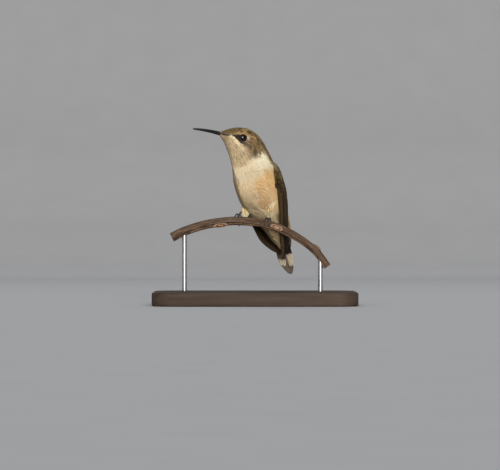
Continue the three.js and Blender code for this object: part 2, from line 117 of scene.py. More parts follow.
# By side, 1 being the left: the left wing hangs beside the tail, and the right one crosses under it.
WING_ROWS = {
    1: np.array(WING + [
        [-10.0, 8.5, -4.8, -18.1, 7.8, -4.2, 0.8, 1.5],
        [-11.0, 7.75, -11.0, -20.4, 7.0, -10.5, 0.6, 1.2],
        [-12.6, 7.3, -16.5, -19.6, 6.5, -16.0, 0.3, 1.0],
        [-15.0, 6.75, -20.9, -15.9, 6.6, -20.6, 0.05, 0.7],
    ]),
    -1: np.array(WING + [
        [-9.8, 7.4, -5.2, -18.9, 5.6, -4.7, 0.9, 1.5],
        [-12.3, 5.2, -11.3, -20.4, 3.8, -9.9, 0.6, 1.2],
        [-17.2, 2.6, -15.6, -22.6, 1.5, -14.0, 0.3, 1.0],
        [-23.2, 0.1, -18.3, -23.8, 0.05, -17.9, 0.05, 0.7],
    ]),
}
WING_EDGE = 0.45

TAIL_ROOT = np.array([-21.9, 0.0, -2.5])
TAIL_PITCH = math.radians(68)
TAIL_LENGTHS = (28.0, 27.2, 26.0, 24.4, 22.8)
TAIL_LAYER = 0.32
TAIL_SPREAD = math.radians(1.0)
TAIL_APART = 0.3
TAIL_HALF = 2.4

# Middle line of the twig: x, y, z above the perch line, radius.
TWIG = np.array([
    [-42.4, 0.6, -9.4, 2.45],
    [-36.0, 0.5, -6.2, 2.4],
    [-27.0, 0.2, -3.3, 2.35],
    [-18.0, 0.0, -1.6, 2.35],
    [-9.0, 0.0, -1.0, 2.3],
    [0.0, 0.0, -1.6, 2.25],
    [9.0, 0.0, -3.5, 2.2],
    [18.0, 0.1, -7.3, 2.1],
    [26.0, 0.3, -12.3, 2.0],
    [32.0, 0.5, -17.6, 2.0],
    [37.0, 0.7, -24.2, 2.0],
])
TWIG_LENGTH = 95.0
# Old leaf scars: place along the twig, angle round it in degrees, height, length, half angle.
SCARS = (
    (0.303, -48, 0.75, 6.2, 62),
    (0.622, -4, 0.6, 5.0, 68),
    (0.872, 78, 1.25, 3.6, 50),
)

GRIP_GAP = 0.15
TOE_RADIUS = 0.42
KNUCKLE = 0.55
ANKLE = math.radians(106)
SHANK_RADII = np.array([[0.62], [0.5], [0.46], [0.5], [0.6]])
CLAW_RADII = np.array([[0.3], [0.29], [0.25], [0.19], [0.12]])
CLAW_START = math.radians(7)
# Each foot: place along the twig, lean of its toes, ends of its toes and claws in degrees, its hock.
FEET = {
    "left": (0.58, -2.6, 18, -20, (5.4, 4.2, 5.4)),
    "right": (0.406, -0.2, 60, 30, (-5.6, 3.9, 5.4)),
}
# Each front toe: travel along the twig, and how many degrees further round it reaches.
FRONT_TOES = {"inner": (-2.1, -10), "middle": (0.0, 0), "outer": (2.1, -7)}
HIND_TOE = (0.6, 208, 262)

# Each thigh: top, foot, radius at the top.
THIGHS = {
    "left": ((-0.6, 8.2, 8.6), (-4.6, 5.2, 1.4), 2.7),
    "right": ((0.6, -5.2, 7.0), (1.2, -5.2, 1.9), 2.6),
}
THIGH_TAPER = math.radians(68)

BASE_WIDE, BASE_DEEP, BASE_HIGH, BASE_CORNER, BASE_EDGE = 104.0, 64.0, 7.0, 10.0, 1.0
ROD_RADIUS = 1.25
RODS = {"left": 0.1, "right": 0.925}
ROD_PLUG = 1.3

SIDES = {"left": 1, "right": -1}

# ---------------------------------------------------------------- array helpers


def smooth(x, low, high):
    """0 below low, 1 above high, and an S curve between them."""
    t = np.clip((x - low) / (high - low), 0, 1)
    return t * t * (3 - 2 * t)


def unit(v):
    """Vectors divided by their lengths."""
    return v / np.maximum(np.linalg.norm(v, axis=-1, keepdims=True), 1e-9)


def grid(down, across):
    """Two parameters on a grid, one down its rows and one across its columns."""
    return np.meshgrid(down, across, indexing="ij")


def full_turn(count, start=0.0):
    """Angles once round from start."""
    return np.linspace(start, start + 2 * np.pi, count, endpoint=False)


def painted(under, over, mask):
    """One colour laid over another, by a mask from 0 to 1."""
    return under + (over - under) * np.asarray(mask)[..., None]


def along(rows, t):
    """Smooth (Catmull-Rom) value between rows of numbers, with t from 0 at the first to 1 at the last."""
    rows = np.asarray(rows, float)
    last = len(rows) - 1
    place = np.clip(t, 0, 1) * last
    i = np.minimum(np.floor(place).astype(int), last - 1)
    w = (place - i)[..., None]
    start, end = rows[i], rows[i + 1]
    before = np.where((i > 0)[..., None], rows[np.maximum(i - 1, 0)], 2 * start - end)
    after = np.where((i + 2 <= last)[..., None], rows[np.minimum(i + 2, last)], 2 * end - start)
    leave, arrive = (end - before) / 2, (after - start) / 2
    cubic = 2 * (start - end) + leave + arrive
    square = 3 * (end - start) - 2 * leave - arrive
    return ((cubic * w + square) * w + leave) * w + start


NOISE_TABLE = np.random.default_rng(5).random(4096)


def noise(*coordinates):
    """Value noise from 0 to 1: random numbers on a unit lattice, blended by S curves."""
    p = np.stack(np.broadcast_arrays(*coordinates), -1)
    cell = np.floor(p).astype(np.int64)
    f = p - cell
    f = f * f * (3 - 2 * f)
    primes = (73856093, 19349663, 83492791)
    total = 0
    for corner in range(2 ** p.shape[-1]):
        bits = [(corner >> k) & 1 for k in range(p.shape[-1])]
        key, weight = 0, 1
        for k, bit in enumerate(bits):
            key = key ^ ((cell[..., k] + bit) * primes[k])
            weight = weight * (f[..., k] if bit else 1 - f[..., k])
        total = total + weight * NOISE_TABLE[key & 4095]
    return total


# ---------------------------------------------------------------- surfaces


def turned(x, y, z, share):
    """A point of the unturned bird carried with the head, which turns about an upright axis."""
    angle = -HEAD_TURN * share
    dx = x - NECK_PIVOT
    turned_x = NECK_PIVOT + dx * np.cos(angle) - y * np.sin(angle)
    return np.stack([turned_x, dx * np.sin(angle) + y * np.cos(angle), z + 0 * turned_x], -1)


def to_stand(p):
    """The bird's frame to the stand's frame."""
    c, s = math.cos(BIRD_TURN), math.sin(BIRD_TURN)
    x, y, z = np.moveaxis(p, -1, 0)
    return np.stack([c * x - s * y, s * x + c * y, z + PERCH_HEIGHT], -1)


def body(u, a, grown=0.0):
    """The feathered outline: an oval at u of the way to the tail, taken at angle a from the back, 90 degrees
    being the left flank, and moved out by grown."""
    r = along(BODY, u)
    back, belly, half, low = r[..., 0:2], r[..., 2:4], r[..., 4], r[..., 5]
    up = back - belly
    depth = np.linalg.norm(up, axis=-1) / 2 + grown
    spine = (back + belly) / 2 + unit(up) * (depth * np.cos(a))[..., None]
    y = (half + grown) * np.sin(a) * (1 - low * np.cos(a))
    return turned(spine[..., 0], y, spine[..., 1], 1 - smooth(u, HEAD_END, TURN_END))


def thigh(name):
    """The surface of a thigh: a cone whose radius falls as a cosine, t down it and angle b round it."""
    top, foot, wide = (np.array(v) for v in THIGHS[name])
    run = unit(foot - top)
    side = unit(np.cross(run, (0.0, 1.0, 0.0)))
    over = np.cross(run, side)

    def surface(t, b, grown=0.0):
        radius = wide * np.cos(np.clip(t, 0, 1.12) * THIGH_TAPER) ** 0.8 + grown
        ring = np.cos(b)[..., None] * side + np.sin(b)[..., None] * over
        return top + (foot - top) * np.asarray(t)[..., None] + ring * radius[..., None]

    return surface


def eye_centre(side):
    """The middle of an eye, carried with the head."""
    x, y, z = EYE_PLACE
    return turned(np.array(x), np.array(side * y), np.array(z), 1)


def eye_axis(side):
    """The direction an eye looks in: square to the side of the head, and a little forward."""
    ahead, out, up = 0.26, 1.0, 0.03
    c, s = math.cos(-HEAD_TURN), math.sin(-HEAD_TURN)
    return unit(np.array([ahead * c - side * out * s, ahead * s + side * out * c, up]))


def wing_wall(side, s, share):
    """Half the thickness of a wing at a place."""
    thick = along(WING_ROWS[side], s)[..., 7]
    return thick / 2 * (WING_EDGE + (1 - WING_EDGE) * np.sin(np.pi * np.clip(share, 0, 1)))


def wing_chord(side, s):
    """The distance from the lead edge to the trail edge."""
    row = along(WING_ROWS[side], s)
    return np.linalg.norm(row[..., 3:6] - row[..., 0:3], axis=-1)


def wing(side):
    """The middle surface of a folded wing, moved out by height: s runs from the wrist to the tip, and share
    from the lead edge to the trail edge over a low arch."""

    def surface(s, share, height=0.0):
        row = along(WING_ROWS[side], s)
        lead, chord, bulge = row[..., 0:3], row[..., 3:6] - row[..., 0:3], row[..., 6]
        lean = chord[..., 1] / np.sum(chord * chord, axis=-1)
        out = unit(np.array([0.0, 1.0, 0.0]) - chord * lean[..., None])
        arch = bulge * 4 * share * (1 - share) + height
        p = lead + chord * np.asarray(share)[..., None] + out * np.asarray(arch)[..., None]
        return p * np.array([1.0, side, 1.0])

    return surface


def wing_skin(side):
    """The closed outside of a wing: angle 0 is the lead edge, 90 degrees the outer face and 180 degrees the
    trail edge."""
    middle = wing(side)

    def surface(s, angle, grown=0.0):
        share = (1 - np.cos(angle)) / 2
        return middle(s, share, np.sin(angle) * wing_wall(side, s, share) + grown * np.sign(np.sin(angle)))

    return surface


def tail_blade(rank, side):
    """One tail feather's middle plane: t along it, x across it from -1 to 1, height towards the back."""
    away = np.array([-math.cos(TAIL_PITCH), 0, -math.sin(TAIL_PITCH)])
    dorsal = np.array([-math.sin(TAIL_PITCH), 0, math.cos(TAIL_PITCH)])
    turn = side * TAIL_SPREAD * (rank + 0.5)
    run = away * math.cos(turn) + np.array([0, math.sin(turn), 0])
    across = np.cross(dorsal, run)
    root = TAIL_ROOT - across * (side * TAIL_APART * (rank + 0.5)) - dorsal * TAIL_LAYER * rank

    def surface(t, x, height=0.0):
        narrowing = np.clip((t - 0.6) / 0.404, 0, 1)
        width = TAIL_HALF * np.minimum(0.45 + 1.1 * t, 1) * np.sqrt(1 - narrowing ** 2.2)
        return (
            root
            + run * (TAIL_LENGTHS[rank] * t)[..., None]
            + across * (x * width)[..., None]
            + dorsal * np.asarray(height + 0 * t)[..., None]
        )

    return surface


def twig_at(t):
    """Centre, run, front, top and radius of the twig at t."""
    row = along(TWIG, t)
    run = unit(along(TWIG, np.minimum(t + 0.01, 1))[..., :3] - along(TWIG, np.maximum(t - 0.01, 0))[..., :3])
    front = unit(np.array([0.0, -1.0, 0.0]) + run * run[..., 1:2])
    return row[..., :3] + np.array([0, 0, PERCH_HEIGHT]), run, front, np.cross(front, run), row[..., 3]


def on_twig(at, angle, shift, lift):
    """A point off the bark: angle 0 is the front of the twig and 90 degrees its top."""
    centre, _, front, top, radius = twig_at(at + shift / TWIG_LENGTH)
    reach = (radius + GRIP_GAP + lift)[..., None]
    return centre + front * reach * np.cos(angle)[..., None] + top * reach * np.sin(angle)[..., None]


def toe_path(foot, toe, start, end, count, lift):
    """The middle line of a toe, or of its claw: round the bark, spreading from the ankle and arched."""
    at, shift, last = foot[0], toe[0], toe[2]
    angle = np.linspace(start, end, count)
    travelled = (angle - ANKLE) / (last - ANKLE)
    knuckle = KNUCKLE * np.sin(np.pi * np.minimum(travelled * 1.5, 1))
    return on_twig(at, angle, shift * np.abs(travelled) ** 0.8, lift + knuckle)


def toes_of(name):
    """Each toe of a foot as its travel and the angles at which it and its claw end."""
    _, lean, toe, claw, _ = FEET[name]
    toes = {
        key: (shift + lean, math.radians(toe - further), math.radians(claw - further))
        for key, (shift, further) in FRONT_TOES.items()
    }
    toes["hind"] = (HIND_TOE[0], math.radians(HIND_TOE[1]), math.radians(HIND_TOE[2]))
    return toes


# ---------------------------------------------------------------- meshes


class Shape:
    """A mesh being worked out: vertices in millimetres, faces as a flat list of corners, maps by corner and
    colours by vertex."""

    def __init__(self, vertices, quads, tris, maps, colours):
        corners = np.concatenate([quads.ravel(), tris.ravel()])
        a, b, c = (vertices[tris[:, k]] for k in range(3))
        p, q, r, s = (vertices[quads[:, k]] for k in range(4))
        volume = np.sum(np.cross(a, b) * c) + np.sum(np.cross(p, q) * r) + np.sum(np.cross(p, r) * s)
        if volume < 0:  # turn every face round
            order = np.arange(len(corners))
            split = quads.size
            order = np.concatenate([
                order[:split].reshape(-1, 4)[:, ::-1].ravel(), order[split:].reshape(-1, 3)[:, ::-1].ravel()
            ])
            corners = corners[order]
            maps = {key: value[order] for key, value in maps.items()}
        self.vertices = vertices
        self.corners = corners
        self.sizes = np.concatenate([np.full(len(quads), 4), np.full(len(tris), 3)])
        self.maps = maps
        self.colours = colours


def join(shapes):
    """Several shapes as one."""
    whole = shapes[0]
    starts = np.cumsum([0] + [len(s.vertices) for s in shapes])
    whole.corners = np.concatenate([s.corners + start for s, start in zip(shapes, starts)])
    whole.sizes = np.concatenate([s.sizes for s in shapes])
    whole.maps = {k: np.concatenate([s.maps[k] for s in shapes]) for k in whole.maps}
    whole.colours = {k: np.concatenate([s.colours[k] for s in shapes]) for k in whole.colours}
    whole.vertices = np.concatenate([s.vertices for s in shapes])
    return whole


def placed(shape):
    """A shape carried from the bird's frame to the stand's."""
    shape.vertices = to_stand(shape.vertices)
    return shape


def closed_grid(points, colours=None, place=None):
    """A surface that closes round its columns, with each end row drawn in to one point. Its map is the
    place on the grid, or place where the columns run there and back."""
    rows, columns = points.shape[:2]
    last = rows - 3
    i, j = grid(np.arange(last), np.arange(columns))
    near, far, onward = i * columns, (i + 1) * columns, (j + 1) % columns
    quads = np.stack([near + j, near + onward, far + onward, far + j], -1).reshape(-1, 4)
    k = np.arange(columns)
    after, start, point = (k + 1) % columns, last * columns, (rows - 2) * columns
    head = np.stack([np.full(columns, point), after, k], -1)
    foot = np.stack([np.full(columns, point + 1), start + k, start + after], -1)
    tris = np.concatenate([head, foot])

    def drawn(values):
        return np.concatenate([values[1:-1].reshape(-1, values.shape[-1]), values[[0, -1]].mean(1)])

    if place is None:
        across = np.stack([j, j + 1, j + 1, j], -1) / columns
        down = np.stack([i + 1, i + 1, i + 2, i + 2], -1) / (rows - 1)
        head_across = np.stack([k + 0.5, k + 1, k], -1) / columns
        foot_across = np.stack([k + 0.5, k, k + 1], -1) / columns
        end_down = np.array([0, 1, 1]) / (rows - 1) + 0 * head_across
        pairs = (across, down), (head_across, end_down), (foot_across, 1 - end_down)
        lie = np.concatenate([np.stack(pair, -1).reshape(-1, 2) for pair in pairs])
    else:
        lie = drawn(place)[np.concatenate([quads.ravel(), tris.ravel()])]
    colours = {key: drawn(value) for key, value in (colours or {}).items()}
    return Shape(drawn(points), quads, tris, {"Lie": lie}, colours)


def closed_ring(points):
    """A surface that closes both along its rows and round its columns."""
    rows, columns = points.shape[:2]
    i, j = grid(np.arange(rows), np.arange(columns))
    near, far, onward = i * columns, (i + 1) % rows * columns, (j + 1) % columns
    quads = np.stack([near + j, near + onward, far + onward, far + j], -1).reshape(-1, 4)
    return Shape(points.reshape(-1, 3), quads, np.zeros((0, 3), int), {}, {})


def with_cells(shapes):
    """Several shapes as one, each with its own cell of a bake map laid out in a square."""
    wide = math.ceil(math.sqrt(len(shapes)))
    for k, shape in enumerate(shapes):
        shape.maps["OFBake"] = (np.array([k % wide, k // wide]) + 0.03 + shape.maps["Lie"] * 0.94) / wide
    return join(shapes)


def tube(path, radii, sides, colours=None, ends=3):
    """A round bar along a path whose ends are domed: circles square to the path."""
    run = unit(np.gradient(path, axis=0))
    side = unit(np.cross(np.array([0.03, 1.0, 0.02]), run))
    over = np.cross(run, side)
    bend = np.linspace(0, np.pi / 2, ends + 1)[:-1]
    head = path[0] - run[0] * (radii[0] * np.cos(bend))[:, None]
    foot = path[-1] + run[-1] * (radii[-1] * np.cos(bend[::-1]))[:, None]
    line = np.concatenate([head, path, foot])
    spread = np.concatenate([radii[0] * np.sin(bend), radii, radii[-1] * np.sin(bend[::-1])])
    pick = np.concatenate([np.zeros(ends, int), np.arange(len(path)), np.full(ends, len(path) - 1)])
    angle = full_turn(sides)
    ring = np.cos(angle)[:, None] * side[pick][:, None] + np.sin(angle)[:, None] * over[pick][:, None]
    return closed_grid(line[:, None] + ring * spread[:, None, None], colours)


def put(name, shape, material, replaced=()):
    """Writes a shape to a mesh object in metres, which rides on the model's one body."""
    mesh = bpy.data.meshes.new(name)
    mesh.vertices.add(len(shape.vertices))
    mesh.vertices.foreach_set("co", (shape.vertices * MM).astype(np.float32).ravel())
    mesh.loops.add(len(shape.corners))
    mesh.loops.foreach_set("vertex_index", shape.corners.astype(np.int32))
    mesh.polygons.add(len(shape.sizes))
    mesh.polygons.foreach_set("loop_start", (np.cumsum(shape.sizes) - shape.sizes).astype(np.int32))
    mesh.update(calc_edges=True)
    mesh.polygons.foreach_set("use_smooth", np.ones(len(shape.sizes), bool))
    for key, values in shape.maps.items():
        mesh.uv_layers.new(name=key).data.foreach_set("uv", values.astype(np.float32).ravel())
    for key, values in shape.colours.items():
        rgba = np.concatenate([np.clip(values, 0, 1), np.ones((len(values), 1))], -1)
        layer = mesh.color_attributes.new(name=key, type="FLOAT_COLOR", domain="POINT")
        layer.data.foreach_set("color", rgba.astype(np.float32).ravel())
    mesh.materials.append(material)
    piece = bpy.data.objects.new(name, mesh)
    bpy.context.scene.collection.objects.link(piece)
    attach(piece, "root")
    if replaced:
        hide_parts(*replaced)
    return piece


# ---------------------------------------------------------------- feathers

PATCH = 0.003  # side of each feather's patch on the bake map
SHOWN_AT = 0.35  # share of a feather's length, from its root, at whose place its colours are taken
WEDGE_AHEAD = 0.35  # rows by which the feathers' dark wedge is set before the skin's
SCALE_STATIONS = np.array([0.0, 0.3, 0.6, 0.82, 0.95])
LOCK_STATIONS = np.array([0.0, 0.35, 0.7, 0.92])


def scale_outline(t):
    """Half width of a rounded feather: it widens from its root and closes as an ellipse."""
    return (0.4 + 0.6 * smooth(t, 0, 0.4)) * np.sqrt(1 - np.clip((t - 0.6) / 0.42, 0, 1) ** 2)


def lock_outline(t):
    """Half width of a soft lock of barbs: it narrows steadily to a point."""
    return (0.55 + 0.45 * smooth(t, 0, 0.3)) * (1 - t ** 2.4)


def bake_place(p, q):
    """Where a root lies on the unwrap of the skin: round it, and along it."""
    return np.stack([0.02 + 0.96 * (q / (2 * np.pi) + 0.5), 0.02 + 0.96 * p], -1)


def lay(surface, p, q, length, lie, t):
    """The two parameters of each feather at its stations: it sets off at angle lie from the first
    parameter's direction, and each step is scaled by the surface's stretch at the root."""
    step = 1e-3
    stretch_p = np.linalg.norm(surface(p + step, q) - surface(p - step, q), axis=-1) / (2 * step)
    stretch_q = np.linalg.norm(surface(p, q + step) - surface(p, q - step), axis=-1) / (2 * step)
    go_p = length * np.cos(lie) / np.maximum(stretch_p, 1e-3)
    go_q = length * np.sin(lie) / np.maximum(stretch_q, 1e-3)
    return p[:, None] + go_p[:, None] * t, q[:, None] + go_q[:, None] * t


def feathers(surface, p, q, length, half, lie, root_level, tip_level, stations, outline, thick, droop=0.0):
    """Closed three-sided vanes: a crest over two edges at each station, drawn in to a point. Each lies on
    the surface moved out from root_level at its root to tip_level at its tip."""
    t = np.append(stations, 1.0)
    P, Q = lay(surface, p, q, length, lie, t)
    level = root_level[:, None] + (tip_level - root_level)[:, None] * (1 - (1 - t) ** 1.6)
    spine = surface(P, Q, level)
    step = 1e-3
    normal = unit(np.cross(surface(P + step, Q, level) - spine, surface(P, Q + step, level) - spine))
    run = unit(np.gradient(spine, axis=1))
    side = unit(np.cross(normal, run))
    outward = np.sign(np.sum(normal * (surface(P, Q, level + 0.1) - spine), -1, keepdims=True))
    normal = normal * outward
    width = half[:, None] * outline(t)
    drop = thick * 0.3 + droop * width ** 2
    left = spine - side * width[..., None] - normal * drop[..., None]
    right = spine + side * width[..., None] - normal * drop[..., None]
    crest = spine + normal * (thick * (1 - 0.7 * t))[:, None]
    count, n = len(stations), len(p)
    rings = np.stack([left, crest, right], 2)[:, :count].reshape(n, count * 3, 3)
    return np.concatenate([rings, spine[:, count:]], 1)


def vane_faces(count, n):
    """The faces of n vanes of count stations: three strips, a root and a point."""
    i = np.arange(count - 1)[:, None] * 3
    k = np.arange(3)[None]
    after = (k + 1) % 3
    quads = np.stack([i + k, i + after, i + 3 + after, i + 3 + k], -1).reshape(-1, 4)
    tip, end = count * 3, (count - 1) * 3
    tris = np.array([[0, 2, 1], [end, end + 1, tip], [end + 1, end + 2, tip], [end + 2, end, tip]])
    start = (np.arange(n) * (tip + 1))[:, None, None]
    return (quads + start).reshape(-1, 4), (tris + start).reshape(-1, 3)


def coat(surface, p, q, length, half, lie, root_level, tip_level, kind, thick, centre, edge, place, keep=None,
         droop=0.0):
    """Feathers of one kind as one shape, with a map of each feather's length and breadth, and a bake map."""
    scales = kind == "scale"
    stations, outline = (SCALE_STATIONS, scale_outline) if scales else (LOCK_STATIONS, lock_outline)
    points = feathers(
        surface, p, q, length, half, lie, root_level, tip_level, stations, outline, thick, droop
    )
    if keep is not None:
        kept = keep(points)
        points, centre, edge, place = points[kept], centre[kept], edge[kept], place[kept]
    n, per = points.shape[:2]
    quads, tris = vane_faces(len(stations), n)
    across = np.append(np.tile([0.0, 0.5, 1.0], len(stations)), 0.5)
    down = np.append(np.repeat(stations, 3), 1.0)
    own = np.tile(np.stack([across, down], -1), (n, 1))
    bake = (place[:, None] + (own.reshape(n, per, 2) - 0.5) * PATCH).reshape(-1, 2)
    corners = np.concatenate([quads.ravel(), tris.ravel()])
    maps = {"OFBake": bake[corners], "Lie": own[corners]}
    colours = {"centre": np.repeat(centre, per, 0), "edge": np.repeat(edge, per, 0)}
    return Shape(points.reshape(-1, 3), quads, tris, maps, colours)


def scattered(count, density, span):
    """Places on a surface: an evenly filling three-number sequence, kept where the third number is under
    the density there. span is the low and high end of both parameters."""
    g = 1.2207440846
    n = np.arange(1, count + 1)[:, None]
    filled = (0.5 + n / np.array([g, g * g, g ** 3])) % 1
    low, high = np.array(span[0]), np.array(span[1])
    p, q = (low + filled[:, :2] * (high - low)).T
    kept = filled[:, 2] < density(p, q)
    return p[kept], q[kept]


def area_at(surface, p, q):
    """Square millimetres for each unit of both parameters."""
    step = 1e-3
    here = surface(p, q)
    square = np.cross(surface(p + step, q) - here, surface(p, q + step) - here)
    return np.linalg.norm(square, axis=-1) / step ** 2


def spread_over(surface, per_mm2, span, where):
    """Places with so many feathers to the square millimetre, times where from 0 to 1."""
    low, high = span
    places = grid(np.linspace(low[0], high[0], 60), np.linspace(low[1], high[1], 60))
    peak = area_at(surface, *places).max()
    count = int(peak * per_mm2 * (high[0] - low[0]) * (high[1] - low[1]))
    return scattered(count, lambda p, q: area_at(surface, p, q) / peak * where(p, q), span)


# ---------------------------------------------------------------- markings

# Each mark over the back's green: colours of a feather's middle and edge, rows from and to, degrees from
# the back from and to, rows by which it bends towards the tail away from the flank, how softly it ends in
# rows and degrees, its strength, and the side it is on: 1 the left, -1 the right and 0 both.
MARKS = (
    ("cinnamon", "cinnamon_edge", 11.0, 13.9, 20, 104, 0, 0.8, 14, 1.0, 0),
    ("bronze", "bronze_edge", 13.7, 17.0, 0, 104, 0, 0.8, 14, 1.0, 0),
    ("crown", "fringe", -1, 7.4, -1, 86, 0, 0.6, 12, 1.0, 0),
    ("forehead", "forehead_edge", -1, 2.3, -1, 70, 0, 1.2, 12, 0.9, 0),
    ("nape", "nape_edge", 4.8, 8.6, 34, 76, 0, 1.0, 14, 0.9, 0),
    ("cheek", "cheek", -1, 7.4, 86, 200, 0, 0.6, 12, 1.0, 0),
    ("throat", "throat", 0.6, 6.9, 124, 200, 0, 1.0, 16, 0.9, 0),
    ("chin", "chin", -1, 1.3, 84, 200, 0, 1.0, 10, 0.8, 0),
    ("brow", "brow_edge", 2.3, 4.9, 50, 71, 0, 0.9, 9, 0.95, 0),
    ("ear", "ear_edge", 3.3, 6.4, 73, 107, 0, 0.9, 18, 0.9, 0),
    ("ear", "ear_edge", 4.3, 6.3, 96, 123, 0, 0.9, 16, 0.6, 0),
    ("spot", "spot", 3.92, 4.34, 66, 82, 0, 0.3, 5, 0.95, 0),
    # Dark gape line from the root of the bill: the bird's own dark line, with painted shadow under the lower
    # mandible along its lower part.
    ("lore", "lore", -3, 1.45, 80, 106, -6, 0.3, 6, 0.95, 0),
    ("lore", "lore", -1, 0.5, 68, 116, 0, 0.4, 8, 0.9, 0),
    # Painted shade just below the eye.
    ("under_eye", "under_eye", 3.0, 4.3, 91, 104, 0, 0.6, 9, 0.95, 0),
    ("collar", "collar", 6.4, 8.6, 62, 128, 0, 0.6, 12, 1.0, 0),
    ("breast", "breast", 6.6, 10.2, 112, 200, 0, 0.9, 24, 1.0, 0),
    ("belly", "belly", 8.9, 13.3, 84, 200, 0, 1.6, 18, 1.0, 0),
    ("buff", "buff", 7.95, 9.3, 74, 142, 0.35, 0.9, 22, 0.9, 0),
    ("buff", "buff", 8.2, 11.4, 84, 134, 0.2, 1.6, 24, 0.5, 0),
    ("flank", "flank", 8.3, 12.2, 60, 100, 0, 1.0, 12, 0.85, 0),
    ("deep", "deep", 10.1, 11.7, 116, 142, 0, 1.1, 16, 0.7, 0),
    # Lower belly: its own dusky wash, with painted shade over the underside away from the lamp.
    ("dusk_and_shade", "dusk_and_shade", 10.3, 13.4, 148, 200, 0, 1.4, 26, 0.82, 0),
    # Painted shade: these shade marks darken the far edge of the throat, breast and belly, away from the
    # lamp, and a patch beside the chin.
    ("shade", "shade", 1.8, 7.8, 124, 164, 0, 1.0, 16, 0.85, -1),
    ("shade", "shade", 7.6, 12.6, 112, 163, 0, 1.6, 16, 0.86, -1),
    ("shade", "shade", 0.6, 2.4, 104, 124, 0, 0.6, 10, 0.35, 1),
    ("vent", "vent", 11.9, 13.3, 86, 112, 0, 0.7, 12, 0.9, 0),
    ("undertail", "undertail_edge", 13.0, 17, 104, 200, 0, 0.7, 14, 1.0, 0),
    # Painted shade over the right half of the undertail, in the twig's shadow.
    ("shade", "shade", 12.9, 16.5, 90, 175, 0, 0.8, 11, 0.9, -1),
)


def colour_of(name):
    """One of the colours in the settings."""
    return np.array(getattr(bpy.context.scene.bird_colours, name))


def band(x, low, high, soft):
    """1 from low to high and 0 outside, with S curves of breadth soft at both ends."""
    return smooth(x, low - soft / 2, low + soft / 2) * (1 - smooth(x, high - soft / 2, high + soft / 2))


def cloud(row, a, k):
    """Two sizes of noise about 0, different for each k."""
    return noise(row * 1.2 + k, a * 4 + k) - 0.5 + 0.4 * (noise(row * 3 + k, a * 10 + k) - 0.5)


def lore_wedge(row, degree):
    """The dark wedge before the eye: its middle falls and its breadth grows from row 2.2 on."""
    along_it = row - 2.2
    half = 5 + 10 * np.clip(along_it, 0, 1)
    off = np.abs(degree - 84 - 4 * along_it)
    return band(row, 2.05, 4.0, 0.3) * (1 - smooth(off, half - 1, half + 3))


def dark_spots(row, degree, a):
    """Short dark spots over the crown and the nape, and others behind the eye."""
    crown = smooth(noise(row * 3.4 + 17, a * 10 + 17), 0.5, 0.57)
    crown = crown * band(row, 2.0, 7.6, 1.0) * (1 - smooth(degree, 50, 66))
    ear = smooth(noise(row * 3.0 + 37, a * 12 + 37), 0.52, 0.6)
    ear = ear * band(row, 4.2, 6.6, 0.8) * band(degree, 42, 104, 14)
    return np.maximum(crown * 0.95, ear * 0.8)


def dusky_streaks(row, degree, bend):
    """Even streaks down the throat, broken into dashes, and softer slanting ones over the lower belly."""
    line = 0.5 + 0.5 * np.cos(2 * np.pi * (degree / 10.5 + 0.3 * bend))
    dash = noise(row * 4.2 + 11, degree / 10.5 + 11)
    throat = band(row, 1.2, 6.4, 1.2) * band(degree, 112, 186, 18)
    throat = throat * smooth(line, 0.35, 0.95) * smooth(dash, 0.25, 0.6)
    slant = noise(row * 1.6 + 51, (degree + 17 * row) / 5.5)
    belly = band(row, 9.6, 13.2, 1.4) * band(degree, 124, 200, 24) * smooth(slant, 0.45, 0.8) * 0.5
    return np.maximum(throat * 0.7, belly)


def markings(u, a, rng=None):
    """Colours of the middle and the edge of a feather rooted at u and a. Each mark paints over those before
    it; clouds of noise wander its edge, least on the head, and a little scatter breaks it into feathers. A
    faint lengthwise unevenness lies over them all."""
    row = u * BODY_ROWS
    degree = np.degrees(np.abs(a))
    wander = 0.3 + 0.7 * smooth(row, 5.0, 8.0)
    bend_row, bend_degree = cloud(row, a, 30), cloud(row, a, 90)
    place = row + 0.75 * wander * bend_row
    round_it = degree + 17 * wander * bend_degree
    wedge_row = row
    if rng is not None:  # feathers, and not the skin
        place = place + rng.normal(0, 0.07, row.shape)
        round_it = round_it + rng.normal(0, 1.6, row.shape)
        wedge_row = row + WEDGE_AHEAD
    middle, edge = colour_of("green"), colour_of("gold")
    for inner, outer, first, last, low, high, bend, soft_row, soft_degree, strength, side in MARKS:
        bent = place - bend * ((round_it - 85) / 40) ** 2
        mask = band(bent, first, last, soft_row) * band(round_it, low, high, soft_degree) * strength
        if side:
            mask = mask * smooth(a * side, -0.1, 0.1)
        middle, edge = painted(middle, colour_of(inner), mask), painted(edge, colour_of(outer), mask)
    details = (
        ("lore", lore_wedge(wedge_row, degree), 1.0),
        ("spots", dark_spots(row, degree, a), 0.72),
        ("streak", dusky_streaks(row, degree, bend_row), 0.7),
    )
    for name, mask, share_at_edge in details:
        middle = painted(middle, colour_of(name), mask)
        edge = painted(edge, colour_of(name), mask * share_at_edge)
    light = (0.9 + 0.2 * noise(row * 1.5 + 71, a * 16 + 71))[..., None]
    return middle * light, edge * light


def varied(colour, rng, amount):
    """A colour with a little more or less light from feather to feather."""
    return colour * (1 + rng.normal(0, amount, (len(colour), 1)))


# How deep the feathers stand over the skin, by rows from the bill to the tail.
COAT_DEPTH = np.array([
    0.15, 0.2, 0.24, 0.28, 0.32, 0.38, 0.45, 0.55, 0.65, 0.72, 0.78, 0.8, 0.75, 0.65, 0.55, 0.45, 0.35,
])[:, None]


def coat_depth(u):
    """The depth of the feathers at u, smooth between the rows."""
    return along(COAT_DEPTH, u)[..., 0]


def wing_samples():
    """Points over both wings' middle surfaces, with half the thickness there."""
    s, share = grid(np.linspace(0.02, 1, 70), np.linspace(0, 1, 15))
    points = np.concatenate([wing(side)(s, share).reshape(-1, 3) for side in SIDES.values()])
    return points, np.concatenate([wing_wall(side, s, share).ravel() for side in SIDES.values()])


